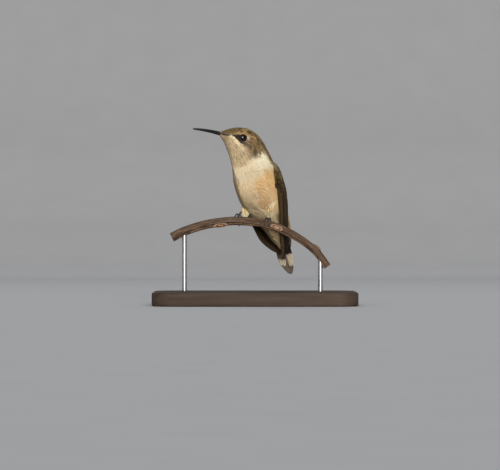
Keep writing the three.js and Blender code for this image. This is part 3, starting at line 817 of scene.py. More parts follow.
def clear_of_wings(points, room=0.1):
    """Which feathers keep their whole length out of the wings."""
    samples, wall = wing_samples()
    kept = np.ones(len(points), bool)
    for part in np.array_split(np.arange(len(points)), max(1, len(points) // 600)):
        probe = points[part][:, [1, 4, 7, -1]]
        gap = np.linalg.norm(probe[:, :, None] - samples, axis=-1) - wall - room
        kept[part] = gap.min((1, 2)) > 0
    return kept


def clear_of_eyes(points, room=1.78):
    """Which feathers keep out of the opening of the eyelids."""
    kept = np.ones(len(points), bool)
    for side in SIDES.values():
        off = points - eye_centre(side)
        axis = eye_axis(side)
        high = off @ axis
        away = np.linalg.norm(off - high[..., None] * axis, axis=-1)
        kept &= ~((away < room) & (high > 0)).any(1)
    return kept


def body_coat(rng, per_mm2, rows, degrees, length, half, kind, thick, swirl=0.1, lie=0.0, proud=0.0,
              tone=0.07, eyes=False, deep=1.0, droop=0.0):
    """Feathers over one region of the body, on both sides, mirrored in where they may stand. Lengths and
    widths run from the first value at the region's first row to the second at its last."""
    first, last = rows[0] / BODY_ROWS, rows[1] / BODY_ROWS

    def where(u, a):
        degree = np.degrees(np.abs(a))
        return 1.0 * ((degree >= degrees[0]) & (degree <= degrees[1]) & (u >= first) & (u <= last))

    low, high = max(first, 0.004), min(last, 0.992)
    u, a = spread_over(body, per_mm2, ((low, -np.pi), (high, np.pi)), where)
    n = len(u)
    u, a = u + rng.normal(0, 0.0016, n), a + rng.normal(0, 0.018, n)
    t = np.clip((u - first) / (last - first), 0, 1)
    size = (length[0] + (length[1] - length[0]) * t) * (1 + rng.normal(0, 0.1, n))
    wide = (half[0] + (half[1] - half[0]) * t) * (1 + rng.normal(0, 0.08, n))
    turn = np.sign(a) * lie + rng.normal(0, swirl, n)
    depth = coat_depth(u) * deep
    tip = -0.12 + proud + np.abs(rng.normal(0, 0.05, n))
    middle, edge = markings(np.clip(u + size * SHOWN_AT / BODY_LENGTH, 0, 1), a, rng)
    light = 1 + rng.normal(0, tone, (n, 1))

    def keep(points):
        kept = clear_of_wings(points)
        return kept & clear_of_eyes(points) if eyes else kept

    return coat(
        body, u, a, size, wide, turn, -depth, tip, kind, thick, middle * light, edge * light,
        bake_place(u, a), keep, droop
    )


# ---------------------------------------------------------------- materials


class Finish:
    """A material being built: a Principled shader and short calls that add nodes to it."""

    def __init__(self, name, roughness=0.6, **sockets):
        self.material = bpy.data.materials.new(name)
        self.material.use_nodes = True
        self.tree = self.material.node_tree
        self.shader = self.tree.nodes["Principled BSDF"]
        self.shader.inputs["Roughness"].default_value = roughness
        for key, value in sockets.items():
            self.shader.inputs[key.replace("_", " ")].default_value = value

    def node(self, kind, links=None, **settings):
        made = self.tree.nodes.new(kind)
        for key, value in settings.items():
            setattr(made, key, value)
        for key, value in (links or {}).items():
            socket = made.inputs[key]
            if isinstance(value, bpy.types.NodeSocket):
                self.tree.links.new(value, socket)
            else:
                socket.default_value = value
        return made

    def math(self, operation, a, b=0.0, c=0.0):
        return self.node("ShaderNodeMath", {0: a, 1: b, 2: c}, operation=operation).outputs[0]

    def attribute(self, name):
        return self.node("ShaderNodeAttribute", attribute_name=name).outputs["Color"]

    def mixed(self, factor, a, b, blend="MIX"):
        made = self.node("ShaderNodeMix", {0: factor, 6: a, 7: b}, data_type="RGBA", blend_type=blend)
        return made.outputs[2]

    def ramp(self, value, stops):
        """Maps 0 to 1 through grey or coloured stops."""
        made = self.node("ShaderNodeValToRGB", {0: value})
        elements = made.color_ramp.elements
        while len(elements) < len(stops):
            elements.new(0.5)
        for element, (place, colour) in zip(elements, stops):
            element.position = place
            element.color = (*colour, 1) if isinstance(colour, tuple) else (colour, colour, colour, 1)
        return made.outputs[0]

    def place(self, source="Object"):
        """Object coordinates, or those of a map."""
        if source == "Object":
            return self.node("ShaderNodeTexCoord").outputs["Object"]
        return self.node("ShaderNodeUVMap", uv_map=source).outputs[0]

    def split(self, source="Object"):
        """The single coordinates of a place."""
        return self.node("ShaderNodeSeparateXYZ", {0: self.place(source)}).outputs

    def stretched(self, scale, source="Object"):
        """A place scaled by three numbers."""
        return self.node("ShaderNodeMapping", {"Vector": self.place(source), "Scale": scale}).outputs[0]

    def noise(self, scale, detail=3.0, roughness=0.5, vector=None):
        links = {"Scale": scale, "Detail": detail, "Roughness": roughness, "Vector": vector or self.place()}
        return self.node("ShaderNodeTexNoise", links).outputs["Fac"]

    def mapped(self, value, low, high, to_low=0.0, to_high=1.0, kind="LINEAR"):
        """One range of a value carried to another, and held at its ends."""
        links = {0: value, 1: low, 2: high, 3: to_low, 4: to_high}
        return self.node("ShaderNodeMapRange", links, interpolation_type=kind).outputs[0]

    def bump(self, height, strength, distance, over=None):
        links = {"Height": height, "Strength": strength, "Distance": distance}
        if over is not None:
            links["Normal"] = over
        return self.node("ShaderNodeBump", links).outputs[0]

    def done(self, colour=None, normal=None, roughness=None):
        for key, value in (("Base Color", colour), ("Normal", normal), ("Roughness", roughness)):
            if value is not None:
                self.tree.links.new(value, self.shader.inputs[key])
        return self.material


def plumage(name, barbs, edge_from, edge_to, tip_from, roughness=0.7, shaft=0.1, swing=0.11, **sockets):
    """Feathers: the middle's colour turns to the edge's near the rim and the tip, a shaft line runs down the
    middle, and slanting barbs vary the tone and ruffle the surface."""
    f = Finish(name, roughness, **sockets)
    across, down = f.split("Lie")[:2]
    off = f.math("ABSOLUTE", f.math("MULTIPLY_ADD", across, 2.0, -1.0))
    rim = f.mapped(off, edge_from, edge_to, kind="SMOOTHSTEP")
    tip = f.mapped(down, tip_from, 1.0, kind="SMOOTHSTEP")
    colour = f.mixed(f.math("MAXIMUM", rim, tip), f.attribute("centre"), f.attribute("edge"))
    slant = f.math("SUBTRACT", f.math("MULTIPLY", down, barbs), f.math("MULTIPLY", off, barbs * 0.16))
    wave = f.math("SINE", f.math("MULTIPLY", slant, 2 * math.pi))
    tone = f.mapped(wave, -1.0, 1.0, 0.97 - swing, 0.97 + swing)
    mottle = f.mapped(f.noise(2600, 2), 0.3, 0.7, 0.86, 1.12)
    line = f.mapped(off, 0.0, 0.1, 1.0 - shaft, 1.0)
    light = f.math("MULTIPLY", f.math("MULTIPLY", tone, mottle), line)
    return f.done(f.mixed(1.0, colour, light, "MULTIPLY"), f.bump(wave, 0.35, 0.00004))


def skin_finish():
    """Bare skin under the feathers: the coat's own markings, finely creased and pored."""
    f = Finish("skin", 0.7, Specular_IOR_Level=0.3, Sheen_Weight=0.15)
    crease = f.noise(3200, 4)
    colour = f.mixed(1.0, f.attribute("centre"), f.mapped(crease, 0.25, 0.75, 0.78, 1.02), "MULTIPLY")
    return f.done(colour, f.bump(crease, 0.5, 0.0001))


def lid_finish():
    """Dark beaded skin round the eye."""
    f = Finish("eyelid", 0.55, Specular_IOR_Level=0.4)
    bead = f.node("ShaderNodeTexVoronoi", {"Scale": 3600.0}).outputs["Distance"]
    colour = f.ramp(bead, [(0.0, (0.022, 0.016, 0.011)), (0.7, (0.008, 0.006, 0.004))])
    return f.done(colour, f.bump(bead, 0.4, 0.00006))


def eye_finish():
    """A dark, glossy eye: black pupil, deep brown iris with faint rays."""
    f = Finish("eye", 0.04, Specular_IOR_Level=0.36)
    ring = f.node("ShaderNodeSeparateColor", {0: f.attribute("ring")}).outputs[0]
    iris = f.mixed(f.noise(2400, 3), (0.004, 0.002, 0.0012, 1), (0.011, 0.005, 0.0025, 1))
    outside_pupil = f.mapped(ring, 0.44, 0.52, kind="SMOOTHSTEP")
    return f.done(f.mixed(outside_pupil, (0.002, 0.0017, 0.0015, 1), iris))


def bill_finish():
    """Satin black horn, brown towards the root, with faint lengthwise grain."""
    f = Finish("bill", 0.42, Specular_IOR_Level=0.3)
    grain = f.noise(60, 4, 0.6, f.stretched((6.0, 90.0, 1.0), "Lie"))
    root, middle, tip = (0.030, 0.023, 0.018), (0.013, 0.012, 0.012), (0.010, 0.010, 0.011)
    base = f.ramp(f.split("Lie")[1], [(0.0, root), (0.25, middle), (1.0, tip)])
    light = f.mapped(grain, 0.3, 0.7, 0.75, 1.25)
    return f.done(f.mixed(1.0, base, light, "MULTIPLY"), f.bump(grain, 0.25, 0.00004))


def foot_finish():
    """Grey-brown scaled skin of the toes and shanks."""
    f = Finish("foot", 0.5, Specular_IOR_Level=0.45)
    plate = f.node("ShaderNodeTexVoronoi", {"Vector": f.stretched((900.0, 900.0, 900.0)), "Scale": 3.0})
    colour = f.ramp(f.noise(1500, 3), [(0.3, (0.040, 0.028, 0.020)), (0.7, (0.100, 0.072, 0.052))])
    return f.done(colour, f.bump(plate.outputs["Distance"], 0.35, 0.00006))


def claw_finish():
    """Glossy dark horn."""
    f = Finish("claw", 0.28, Specular_IOR_Level=0.5)
    fleck = f.noise(900, 2)
    colour = f.ramp(fleck, [(0.3, (0.012, 0.01, 0.009)), (0.7, (0.035, 0.028, 0.024))])
    return f.done(colour, f.bump(fleck, 0.1, 0.00003))


def bark_finish():
    """Twig bark: its own colours under fine fibres and flecks."""
    f = Finish("bark", 0.9, Specular_IOR_Level=0.1)
    fibre = f.noise(1.0, 5, 0.6, f.stretched((260.0, 46.0, 1.0), "Lie"))
    fleck = f.noise(1500, 4, 0.65)
    light = f.math("MULTIPLY", f.mapped(fibre, 0.3, 0.7, 0.6, 1.35), f.mapped(fleck, 0.35, 0.7, 0.82, 1.15))
    colour = f.mixed(1.0, f.attribute("bark"), light, "MULTIPLY")
    return f.done(colour, f.bump(fleck, 0.3, 0.0001, f.bump(fibre, 0.5, 0.0002)))


def plinth_finish():
    """Dark stained wood: grain drawn out along the base under a dull wax."""
    f = Finish("plinth", 0.7, Specular_IOR_Level=0.15)
    grain = f.noise(1.0, 6, 0.6, f.stretched((28.0, 420.0, 420.0)))
    ring = f.noise(1.0, 3, 0.5, f.stretched((9.0, 120.0, 120.0)))
    dark, pale = (0.030, 0.021, 0.016), (0.085, 0.058, 0.041)
    colour = f.ramp(f.math("MULTIPLY", f.math("ADD", grain, ring), 0.5), [(0.35, dark), (0.65, pale)])
    return f.done(colour, f.bump(grain, 0.15, 0.0002))


def rod_finish():
    """Brushed steel, its fine scratches running round the rod."""
    f = Finish("rod", 0.32, Metallic=1.0)
    brush = f.noise(1.0, 4, 0.6, f.stretched((60.0, 60.0, 5200.0)))
    colour = f.ramp(brush, [(0.3, (0.42, 0.42, 0.41)), (0.7, (0.6, 0.6, 0.59))])
    return f.done(colour, f.bump(brush, 0.1, 0.00002), f.mapped(brush, 0.0, 1.0, 0.25, 0.42))


def backdrop_finish(floor, wall, bend):
    """Matt seamless paper, paler on the floor, where the light falls more steeply, than up the wall."""
    f = Finish("backdrop", 0.95, Specular_IOR_Level=0.1)
    light = f.mapped(f.noise(40, 3), 0.3, 0.7, 0.985, 1.015)
    share = f.math("DIVIDE", f.split()[2], bend)
    floor_left = ((0.0, 1.0), (0.02, 0.7), (0.08, 0.42), (0.25, 0.16), (0.6, 0.03), (1.0, 0.0))
    stops = [(up, tuple(b + (a - b) * left for a, b in zip(floor, wall))) for up, left in floor_left]
    return f.done(f.mixed(1.0, f.ramp(share, stops), light, "MULTIPLY"))


# ---------------------------------------------------------------- settings


def length_of(name, description, default):
    """A length, in metres."""
    return bpy.props.FloatProperty(
        name=name, description=description, default=default, min=0.0, unit="LENGTH", precision=5
    )


def density_of(name, description, default):
    """A number of feathers to the square millimetre."""
    return bpy.props.FloatProperty(name=name, description=description, default=default, min=0.1, max=40)


def tint_of(name, description, default):
    """A colour."""
    return bpy.props.FloatVectorProperty(
        name=name, description=description, default=default, min=0, max=1, size=3, subtype="COLOR"
    )


class BirdSizes(bpy.types.PropertyGroup):
    """Lengths and widths of the feathers, and how closely they stand."""

    face_length: length_of("Face feather", "Length of a feather beside the bill", 0.0009)
    crown_length: length_of("Crown feather", "Length of a feather of the crown", 0.0017)
    throat_length: length_of("Throat feather", "Length of a feather of the throat", 0.0015)
    breast_length: length_of("Breast lock", "Length of a lock of barbs on the breast", 0.0024)
    belly_length: length_of("Belly lock", "Length of a lock of barbs on the belly", 0.0029)
    back_length: length_of("Back feather", "Length of a feather of the back", 0.0030)
    coverts_length: length_of("Tail covert", "Length of a feather under the tail", 0.0052)
    face_count: density_of("Face feathers", "Feathers to a square millimetre of the face", 15.0)
    throat_count: density_of("Throat feathers", "Feathers to a square millimetre of the throat", 14.0)
    breast_count: density_of("Breast locks", "Locks to a square millimetre of the breast", 13.0)
    crown_count: density_of("Crown feathers", "Feathers to a square millimetre of the crown", 3.6)
    back_count: density_of("Back feathers", "Feathers to a square millimetre of the back", 2.8)


class BirdColours(bpy.types.PropertyGroup):
    """Colours of the plumage and the twig, by the place where each is seen."""

    green: tint_of("Back", "Middle of a feather of the back", (0.075, 0.085, 0.028))
    gold: tint_of("Back fringe", "Edge of a feather of the back", (0.300, 0.230, 0.095))
    cinnamon: tint_of("Rump", "Middle of a feather of the rump", (0.460, 0.260, 0.090))
    cinnamon_edge: tint_of("Rump fringe", "Edge of a feather of the rump", (0.860, 0.520, 0.200))
    bronze: tint_of("Tail coverts", "Middle of a covert over the tail", (0.090, 0.065, 0.030))
    bronze_edge: tint_of("Tail covert fringe", "Edge of a covert over the tail", (0.300, 0.185, 0.085))
    crown: tint_of("Crown", "Middle of a feather of the crown", (0.240, 0.165, 0.068))
    fringe: tint_of("Crown fringe", "Edge of a feather of the crown", (0.640, 0.430, 0.200))
    forehead: tint_of("Forehead", "Middle of a feather of the forehead", (0.120, 0.080, 0.030))
    forehead_edge: tint_of("Forehead fringe", "Edge of a feather of the forehead", (0.220, 0.145, 0.056))
    nape: tint_of("Nape", "Middle of a feather of the nape", (0.190, 0.125, 0.048))
    nape_edge: tint_of("Nape fringe", "Edge of a feather of the nape", (0.400, 0.270, 0.112))
    brow: tint_of("Brow", "Stripe over the eye", (0.458, 0.267, 0.100))
    brow_edge: tint_of("Brow fringe", "Edges of the stripe over the eye", (0.546, 0.335, 0.136))
    cheek: tint_of("Cheek", "Cheek below the eye", (0.950, 0.760, 0.480))
    chin: tint_of("Chin", "Feathers beside the root of the bill", (0.300, 0.220, 0.115))
    throat: tint_of("Throat", "Ground of the throat", (0.640, 0.485, 0.280))
    streak: tint_of("Throat streak", "Dusky streaks of the throat", (0.220, 0.150, 0.085))
    spots: tint_of("Crown spots", "Dark spots of the crown, nape and ear", (0.050, 0.036, 0.015))
    # Painted shade under the eye.
    under_eye: tint_of("Under the eye", "Painted shade under the eye", (0.110, 0.072, 0.038))
    ear: tint_of("Ear coverts", "Feathers behind and below the eye", (0.230, 0.145, 0.057))
    ear_edge: tint_of("Ear covert edge", "Edges of the feathers behind the eye", (0.330, 0.220, 0.098))
    spot: tint_of("Eye spot", "Pale spot behind the eye", (0.744, 0.624, 0.468))
    lore: tint_of("Lore", "Dark wedge between bill and eye", (0.022, 0.014, 0.009))
    collar: tint_of("Half-collar", "Pale patch behind the cheek", (1.000, 0.890, 0.650))
    breast: tint_of("Breast", "Middle of the breast", (0.880, 0.730, 0.490))
    buff: tint_of("Warm buff", "Sides of the breast", (0.860, 0.560, 0.250))
    flank: tint_of("Flank", "Warm edge beside the wing", (0.830, 0.540, 0.230))
    deep: tint_of("Deep buff", "Lower flank", (0.600, 0.350, 0.140))
    belly: tint_of("Belly", "Belly", (0.860, 0.660, 0.390))
    # Dusky wash of the lower belly, with painted shade underneath.
    dusk_and_shade: tint_of("Lower belly", "Dusky lower belly, with painted shade underneath", (0.520, 0.390, 0.212))
    # Painted shade, laid by the shade marks down the far side and under the twig.
    shade: tint_of("Painted shade", "Painted shade down the far edge of the throat, breast and belly, beside the chin and over the right of the undertail", (0.250, 0.165, 0.068))
    vent: tint_of("Vent", "Grey feathers behind the thigh", (0.260, 0.195, 0.115))
    undertail: tint_of("Undertail", "Middle of a feather under the tail", (0.950, 0.660, 0.320))
    undertail_edge: tint_of("Undertail fringe", "Edge of a feather under the tail", (1.000, 0.760, 0.430))
    white: tint_of("White tufts", "Thigh tufts and the streak above them", (0.960, 0.840, 0.527))
    quill: tint_of("Quill", "Flight feathers", (0.011, 0.007, 0.004))
    quill_brown: tint_of("Brown quill", "Browner flight feathers", (0.120, 0.072, 0.034))
    quill_olive: tint_of("Lead quill", "Outermost flight feathers", (0.110, 0.074, 0.034))
    quill_edge: tint_of("Quill edge", "Outer edge of a flight feather", (0.170, 0.112, 0.060))
    covert: tint_of("Wing covert", "Middle of a green wing covert", (0.036, 0.032, 0.010))
    covert_brown: tint_of("Brown covert", "Middle of a brown wing covert", (0.034, 0.020, 0.009))
    covert_edge: tint_of("Wing covert edge", "Edge of a wing covert", (0.360, 0.225, 0.085))
    glint: tint_of("Covert glint", "Yellow-green gloss of some coverts", (0.260, 0.250, 0.055))
    shoulder: tint_of("Shoulder", "Feathers over the top of the wing", (0.260, 0.210, 0.140))
    tail_white: tint_of("Tail tips", "White ends of the outer tail feathers", (0.740, 0.620, 0.450))
    tail_black: tint_of("Tail band", "Black band before the white ends", (0.014, 0.010, 0.007))
    tail_brown: tint_of("Tail edge", "Brown outer edge of the tail", (0.200, 0.130, 0.065))
    tail_grey: tint_of("Tail", "Grey ends of the middle tail feathers", (0.215, 0.178, 0.136))
    bark_grey: tint_of("Bark", "Raised fibres of the bark", (0.168, 0.114, 0.078))
    bark_brown: tint_of("Bark between", "Sunken bark between the fibres", (0.090, 0.050, 0.031))
    bark_dust_and_light: tint_of("Bark dust and light", "Dust and painted light on the upper side of the twig", (0.150, 0.104, 0.069))
    bark_ridge_highlight: tint_of("Bark ridge", "Tan ridge low on the front, with a painted highlight", (0.300, 0.178, 0.102))
    bark_dark: tint_of("Bark cracks", "Grooves, cracks and the outlines of the scars", (0.012, 0.008, 0.006))
    scar_pale: tint_of("Scar", "Pale wood of a leaf scar", (0.620, 0.390, 0.240))
    scar_brown: tint_of("Scar heart", "Brown wood of a leaf scar", (0.300, 0.160, 0.090))
    scar_red: tint_of("Low scar heart", "Red-brown wood of the scar low on the front", (0.220, 0.075, 0.035))
    scar_rim: tint_of("Scar rim", "Raised rim of a leaf scar", (0.520, 0.330, 0.210))


class StageSettings(bpy.types.PropertyGroup):
    """Lamps, backdrop and camera."""

    floor: tint_of("Floor", "Colour of the floor", (0.540, 0.548, 0.565))
    wall: tint_of("Backdrop", "Colour of the backdrop", (0.272, 0.275, 0.283))
    key_strength: bpy.props.FloatProperty(
        name="Key lamp", description="Strength of the lamp behind the camera", default=2.9, min=0
    )
    rim_strength: bpy.props.FloatProperty(
        name="Rim lamp", description="Strength of the lamp behind the bird", default=0.5, min=0
    )
    room_strength: bpy.props.FloatProperty(
        name="Room", description="Strength of the even light from all round", default=0.28, min=0
    )
    camera_distance: length_of("Camera distance", "From the camera to the middle of the stand", 1.5)
    lens: bpy.props.FloatProperty(
        name="Lens", description="Focal length", default=211.8, subtype="DISTANCE_CAMERA"
    )


# ---------------------------------------------------------------- pieces


class BirdOperator:
    """What every piece's operator shares."""

    bl_options = {"REGISTER", "UNDO"}


class MESH_OT_bird_skin(BirdOperator, bpy.types.Operator):
    """Make the one skin under all the feathers, with its thighs and eyelids"""

    bl_idname = "mesh.bird_skin"
    bl_label = "Skin"

    def execute(self, context):
        u, a = grid(np.linspace(0.0, 1.0, 300), full_turn(160, -np.pi))
        points = body(u, a, -coat_depth(u) * 1.05)
        for name, side in SIDES.items():
            points = self.with_thigh(points, a, name, side)
            points = self.with_socket(points, side)
        middle, edge = markings(u, a)
        skin = closed_grid(to_stand(points), {"centre": middle * 0.6 + edge * 0.4})
        flesh = ("head", "neck", "trunk", "rump", "thigh_left", "thigh_right")
        put("skin", skin, skin_finish(), flesh)
        lids = join([self.lid(side) for side in SIDES.values()])
        put("eyelids", lids, lid_finish())
        return {"FINISHED"}

    def with_thigh(self, points, a, name, side):
        """Draws the belly out along the thigh's line to the cone: how far is the cone's length at the
        point's distance from that line."""
        top, foot, wide = (np.array(v) for v in THIGHS[name])
        inset = 0.55
        length = np.linalg.norm(foot - top)
        run = (foot - top) / length
        off = points - top
        down = off @ run
        away = np.linalg.norm(off - down[..., None] * run, axis=-1)
        share = np.clip(away / (wide - inset), 0, 1)
        reach = np.minimum(np.arccos(share ** 1.25) / THIGH_TAPER, 0.97) * length
        ours = (a * side > 1.2) & (away < wide - inset)
        move = np.where(ours, np.maximum(reach - down, 0) * smooth(share, 1.0, 0.9), 0)
        return points + run * move[..., None]

    def with_socket(self, points, side):
        """Hollows the skin behind the eyelids."""
        centre, axis = eye_centre(side), eye_axis(side)
        off = points - centre
        high = off @ axis
        away = np.linalg.norm(off - high[..., None] * axis, axis=-1)
        hollow = np.where(high > -1, 1 - smooth(away, 1.5, 1.95), 0)
        return points - axis * (hollow * np.maximum(high - 0.4, 0))[..., None]

    def lid(self, side):
        """A beaded ring where the skin meets the eye, drawn out a little to its two corners."""
        centre, axis = eye_centre(side), eye_axis(side)
        ahead = unit(np.cross(axis, (0.0, 0.0, 1.0))) * -side
        up = np.cross(ahead, axis) * side
        roll, angle = grid(full_turn(14), full_turn(96))
        corner = 0.1 * np.abs(np.cos(angle)) ** 7
        radius = LID_RADIUS + 0.06 + corner + 0.12 * np.cos(roll)
        high = EYE_SEAT + 0.06 - corner * 0.6 + 0.17 * np.sin(roll)
        ring = (np.cos(angle) * radius)[..., None] * ahead + (np.sin(angle) * radius * 0.97)[..., None] * up
        points = centre + ring + axis * high[..., None]
        return closed_ring(to_stand(points))


class MESH_OT_bird_eyes(BirdOperator, bpy.types.Operator):
    """Make the two dark, glossy eyes"""

    bl_idname = "mesh.bird_eyes"
    bl_label = "Eyes"

    def execute(self, context):
        finish = eye_finish()
        for name, side in SIDES.items():
            put(f"eyeball_{name}", self.ball(side), finish, (f"eye_{name}",))
        return {"FINISHED"}

    def ball(self, side):
        """A ball about the line of sight whose front is a flatter cap, the cornea: each point's height is the
        lower of the two."""
        axis = eye_axis(side)
        across = unit(np.cross(axis, (0.0, 0.0, 1.0)))
        up = np.cross(across, axis)
        polar, turn = grid(np.linspace(0, np.pi, 48), full_turn(64))
        ring = np.cos(turn)[..., None] * across + np.sin(turn)[..., None] * up
        off = np.sin(polar) * EYE_RADIUS * INSIDE
        high = np.cos(polar) * EYE_RADIUS * INSIDE
        cap = np.sqrt(CORNEA ** 2 - np.minimum(off, LID_RADIUS) ** 2)
        cap = EYE_SEAT - math.sqrt(CORNEA ** 2 - LID_RADIUS ** 2) + cap
        high = np.where(high > 0, np.minimum(high, cap), high)
        points = eye_centre(side) + high[..., None] * axis + off[..., None] * ring
        from_middle = np.clip(np.sin(polar) + (polar > np.pi / 2), 0, 1)
        return closed_grid(to_stand(points), {"ring": np.repeat(from_middle[..., None], 3, -1)})


class MESH_OT_bird_bill(BirdOperator, bpy.types.Operator):
    """Make the two halves of the bill"""

    bl_idname = "mesh.bird_bill"
    bl_label = "Bill"

    def execute(self, context):
        finish = bill_finish()
        put("mandible_upper", self.half(1), finish, ("bill_upper",))
        put("mandible_lower", self.half(-1), finish, ("bill_lower",))
        return {"FINISHED"}

    def half(self, over):
        """Half ellipses down the bill, each closed by its flat cutting edge: a ridge along the top, and a
        long slit for the nostril near the root."""
        t, k = grid(np.linspace(0, 1, 90), np.linspace(0, 1, 28, endpoint=False))
        row = along(BILL, t)
        curved = k < 0.7
        angle = np.pi * np.minimum(k / 0.7, 1)
        across = np.where(curved, np.cos(angle), -1 + 2 * np.clip((k - 0.7) / 0.3, 0, 1))
        rise = np.where(curved, np.sin(angle), 0)
        ridge = 1 + 0.06 * np.exp(-((angle - np.pi / 2) / 0.2) ** 2) * curved
        slit = np.exp(-((t - 0.16) / 0.07) ** 2) * np.exp(-((np.abs(np.cos(angle)) - 0.82) / 0.12) ** 2)
        out = 1 - 0.2 * slit * (over > 0) * curved
        point = np.sqrt(np.clip(1 - ((t - 0.97) / 0.03) ** 2, 0, 1))
        out = out * np.where(t > 0.97, point, 1) * INSIDE
        y = row[..., 2] * across * out
        z = row[..., 1] + over * (BILL_SLIT / 2 + row[..., 3] * rise * ridge * out)
        return closed_grid(to_stand(turned(row[..., 0], y, z, 1)))


class MESH_OT_bird_head_feathers(BirdOperator, bpy.types.Operator):
    """Dress the face, crown and throat in small feathers"""

    bl_idname = "mesh.bird_head_feathers"
    bl_label = "Head feathers"

    def execute(self, context):
        sizes = context.scene.bird_sizes
        rng = np.random.default_rng(11)
        soft = plumage("plumage_face", 5, 0.3, 1.0, 0.7, 0.75, Sheen_Weight=0.2, Specular_IOR_Level=0.2)
        scaled = plumage("plumage_crown", 7, 0.4, 0.95, 0.74, 0.65, Specular_IOR_Level=0.15)
        face, crown, throat = sizes.face_length / MM, sizes.crown_length / MM, sizes.throat_length / MM
        cheek = body_coat(
            rng, sizes.face_count, (0.05, 7.0), (58, 116), (face, face * 1.9), (0.2, 0.24), "lock", 0.1,
            swirl=0.16, lie=0.12, eyes=True, tone=0.09
        )
        put("feathers_cheek", placed(cheek), soft)
        top = body_coat(
            rng, sizes.crown_count * 1.7, (0.05, 3.2), (0, 60), (face, crown * 0.8), (0.25, 0.36), "scale",
            0.07, swirl=0.12, eyes=True, tone=0.1
        )
        hood = body_coat(
            rng, sizes.crown_count, (2.6, 7.8), (0, 74), (crown * 0.75, crown * 1.3), (0.34, 0.64), "scale",
            0.09, swirl=0.12, eyes=True, tone=0.16, proud=-0.1, droop=0.05
        )
        put("feathers_crown", placed(join([top, hood])), scaled)
        front = body_coat(
            rng, sizes.throat_count, (0.05, 7.0), (112, 180), (face, throat * 1.25), (0.2, 0.27), "lock", 0.1,
            swirl=0.1, tone=0.07
        )
        put("feathers_throat", placed(front), soft)
        return {"FINISHED"}


